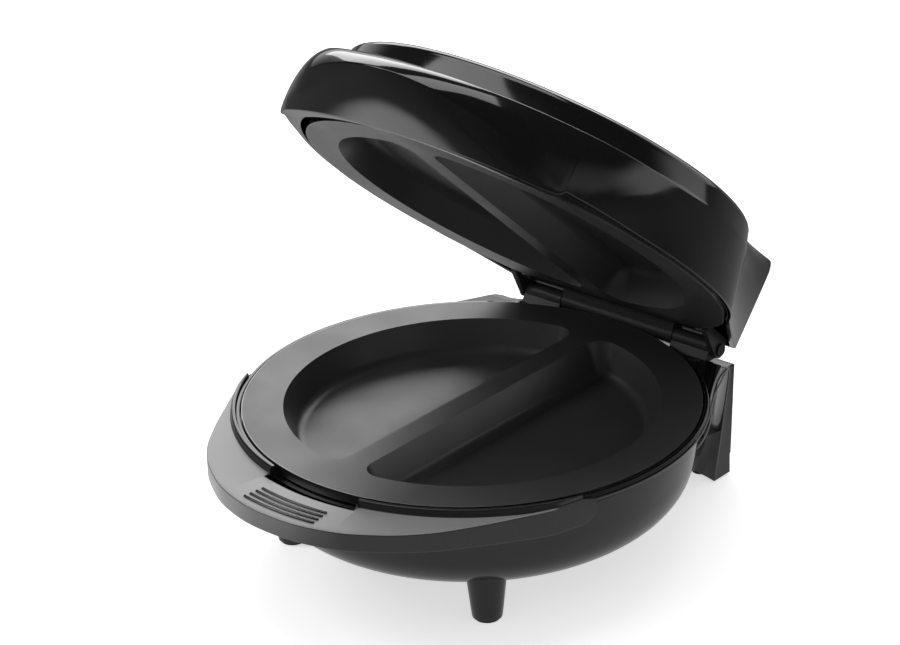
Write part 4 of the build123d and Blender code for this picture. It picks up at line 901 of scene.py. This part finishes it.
SCREW_HOLE, LAMP_HOLE, CUT_LOW, CUT_HIGH = 4.45, 3.68, 38, 60
uncut = bpy.data.objects.new("lid_uncut", closed_mesh("lid_uncut", swung(lid_points), lid_faces))
scene.collection.objects.link(uncut)
lid_mesh = bored(uncut, [
    (x, y, radius, CUT_LOW, CUT_HIGH)
    for x, y, radius in ((0, -62, SCREW_HOLE), (0, 66, SCREW_HOLE), (-9, -77, LAMP_HOLE), (9, -77, LAMP_HOLE))])
bpy.data.objects.remove(uncut)
mesh_piece("lid_housing_shell", [v.co for v in lid_mesh.vertices], [tuple(p.vertices) for p in lid_mesh.polygons],
           BLACK_GLOSS, "lid", ["lid_housing"], sharp=34)

# --- screw covers and lamp lenses -------------------------------------------------------
# Two round covers hide the screw wells. A red lens shows that the cooker is live and a
# green one that it is hot; both are moulded in clear tinted plastic.
paint(BLACK_GLOSS, "lid_screw_covers")


def lens(name, colour):
    """Tinted clear moulding with fine prism lines on it."""
    material, tree, shader = new_material(name)
    place = object_place(tree)
    prism = add_node(tree, "ShaderNodeTexWave", {"Vector": place, "Scale": 330.0}, bands_direction="X").outputs["Fac"]
    cloud = noise(tree, place, 500.0)
    fill(tree, shader, {
        "Base Color": mixed(tree, cloud, (*colour, 1), (*(0.8 * c for c in colour), 1)), "Roughness": 0.09,
        "Transmission Weight": 0.55, "IOR": 1.49, "Normal": relief(tree, prism, 1.0, 0.0001)})
    return material


paint(lens("red lens plastic", (0.50, 0.020, 0.015)), "power_lamp_lens")
paint(lens("green lens plastic", (0.020, 0.35, 0.060)), "ready_lamp_lens")

# --- lamps and their holder -------------------------------------------------------------
# Two neon glow lamps sit in a pale moulded holder behind the lenses.
paint(plastic("lamp holder moulding", (0.74, 0.73, 0.69), 0.5, wear=0.1, scale=120, bump=0.0002), "lamp_holder")
lamp_glass, tree, shader = new_material("lamp glass")
soot = slope(tree, noise(tree, object_place(tree), 300.0), 0.0, 1.0, 0.02, 0.12)
fill(tree, shader, {
    "Base Color": (0.95, 0.90, 0.85, 1), "Roughness": soot, "Transmission Weight": 1.0, "IOR": 1.5})
paint(lamp_glass, "neon_lamps")

# --- upper element, clamps and reflector ------------------------------------------------
# The same heating parts as below, behind the lid's plate.
paint(SHEATH, "upper_element")
paint(STRAP, "upper_clamps")
paint(ROLLED, "upper_reflector")
paint(STEEL, "upper_clamp_screws", "upper_tie_screws")

# --- upper plate ------------------------------------------------------------------------
# The mirror image of the lower plate, in the same coating.
paint(non_stick("upper non-stick coating", OPEN_TURN, 0.104, 3.0), "upper_plate")

# --- hinge bracket on the lid -----------------------------------------------------------
# Pressed steel in the same dark powder coat: a middle barrel and two end arms round the pin.
paint(POWDER_COAT, "upper_hinge_bracket")
paint(STEEL, "upper_hinge_screws")
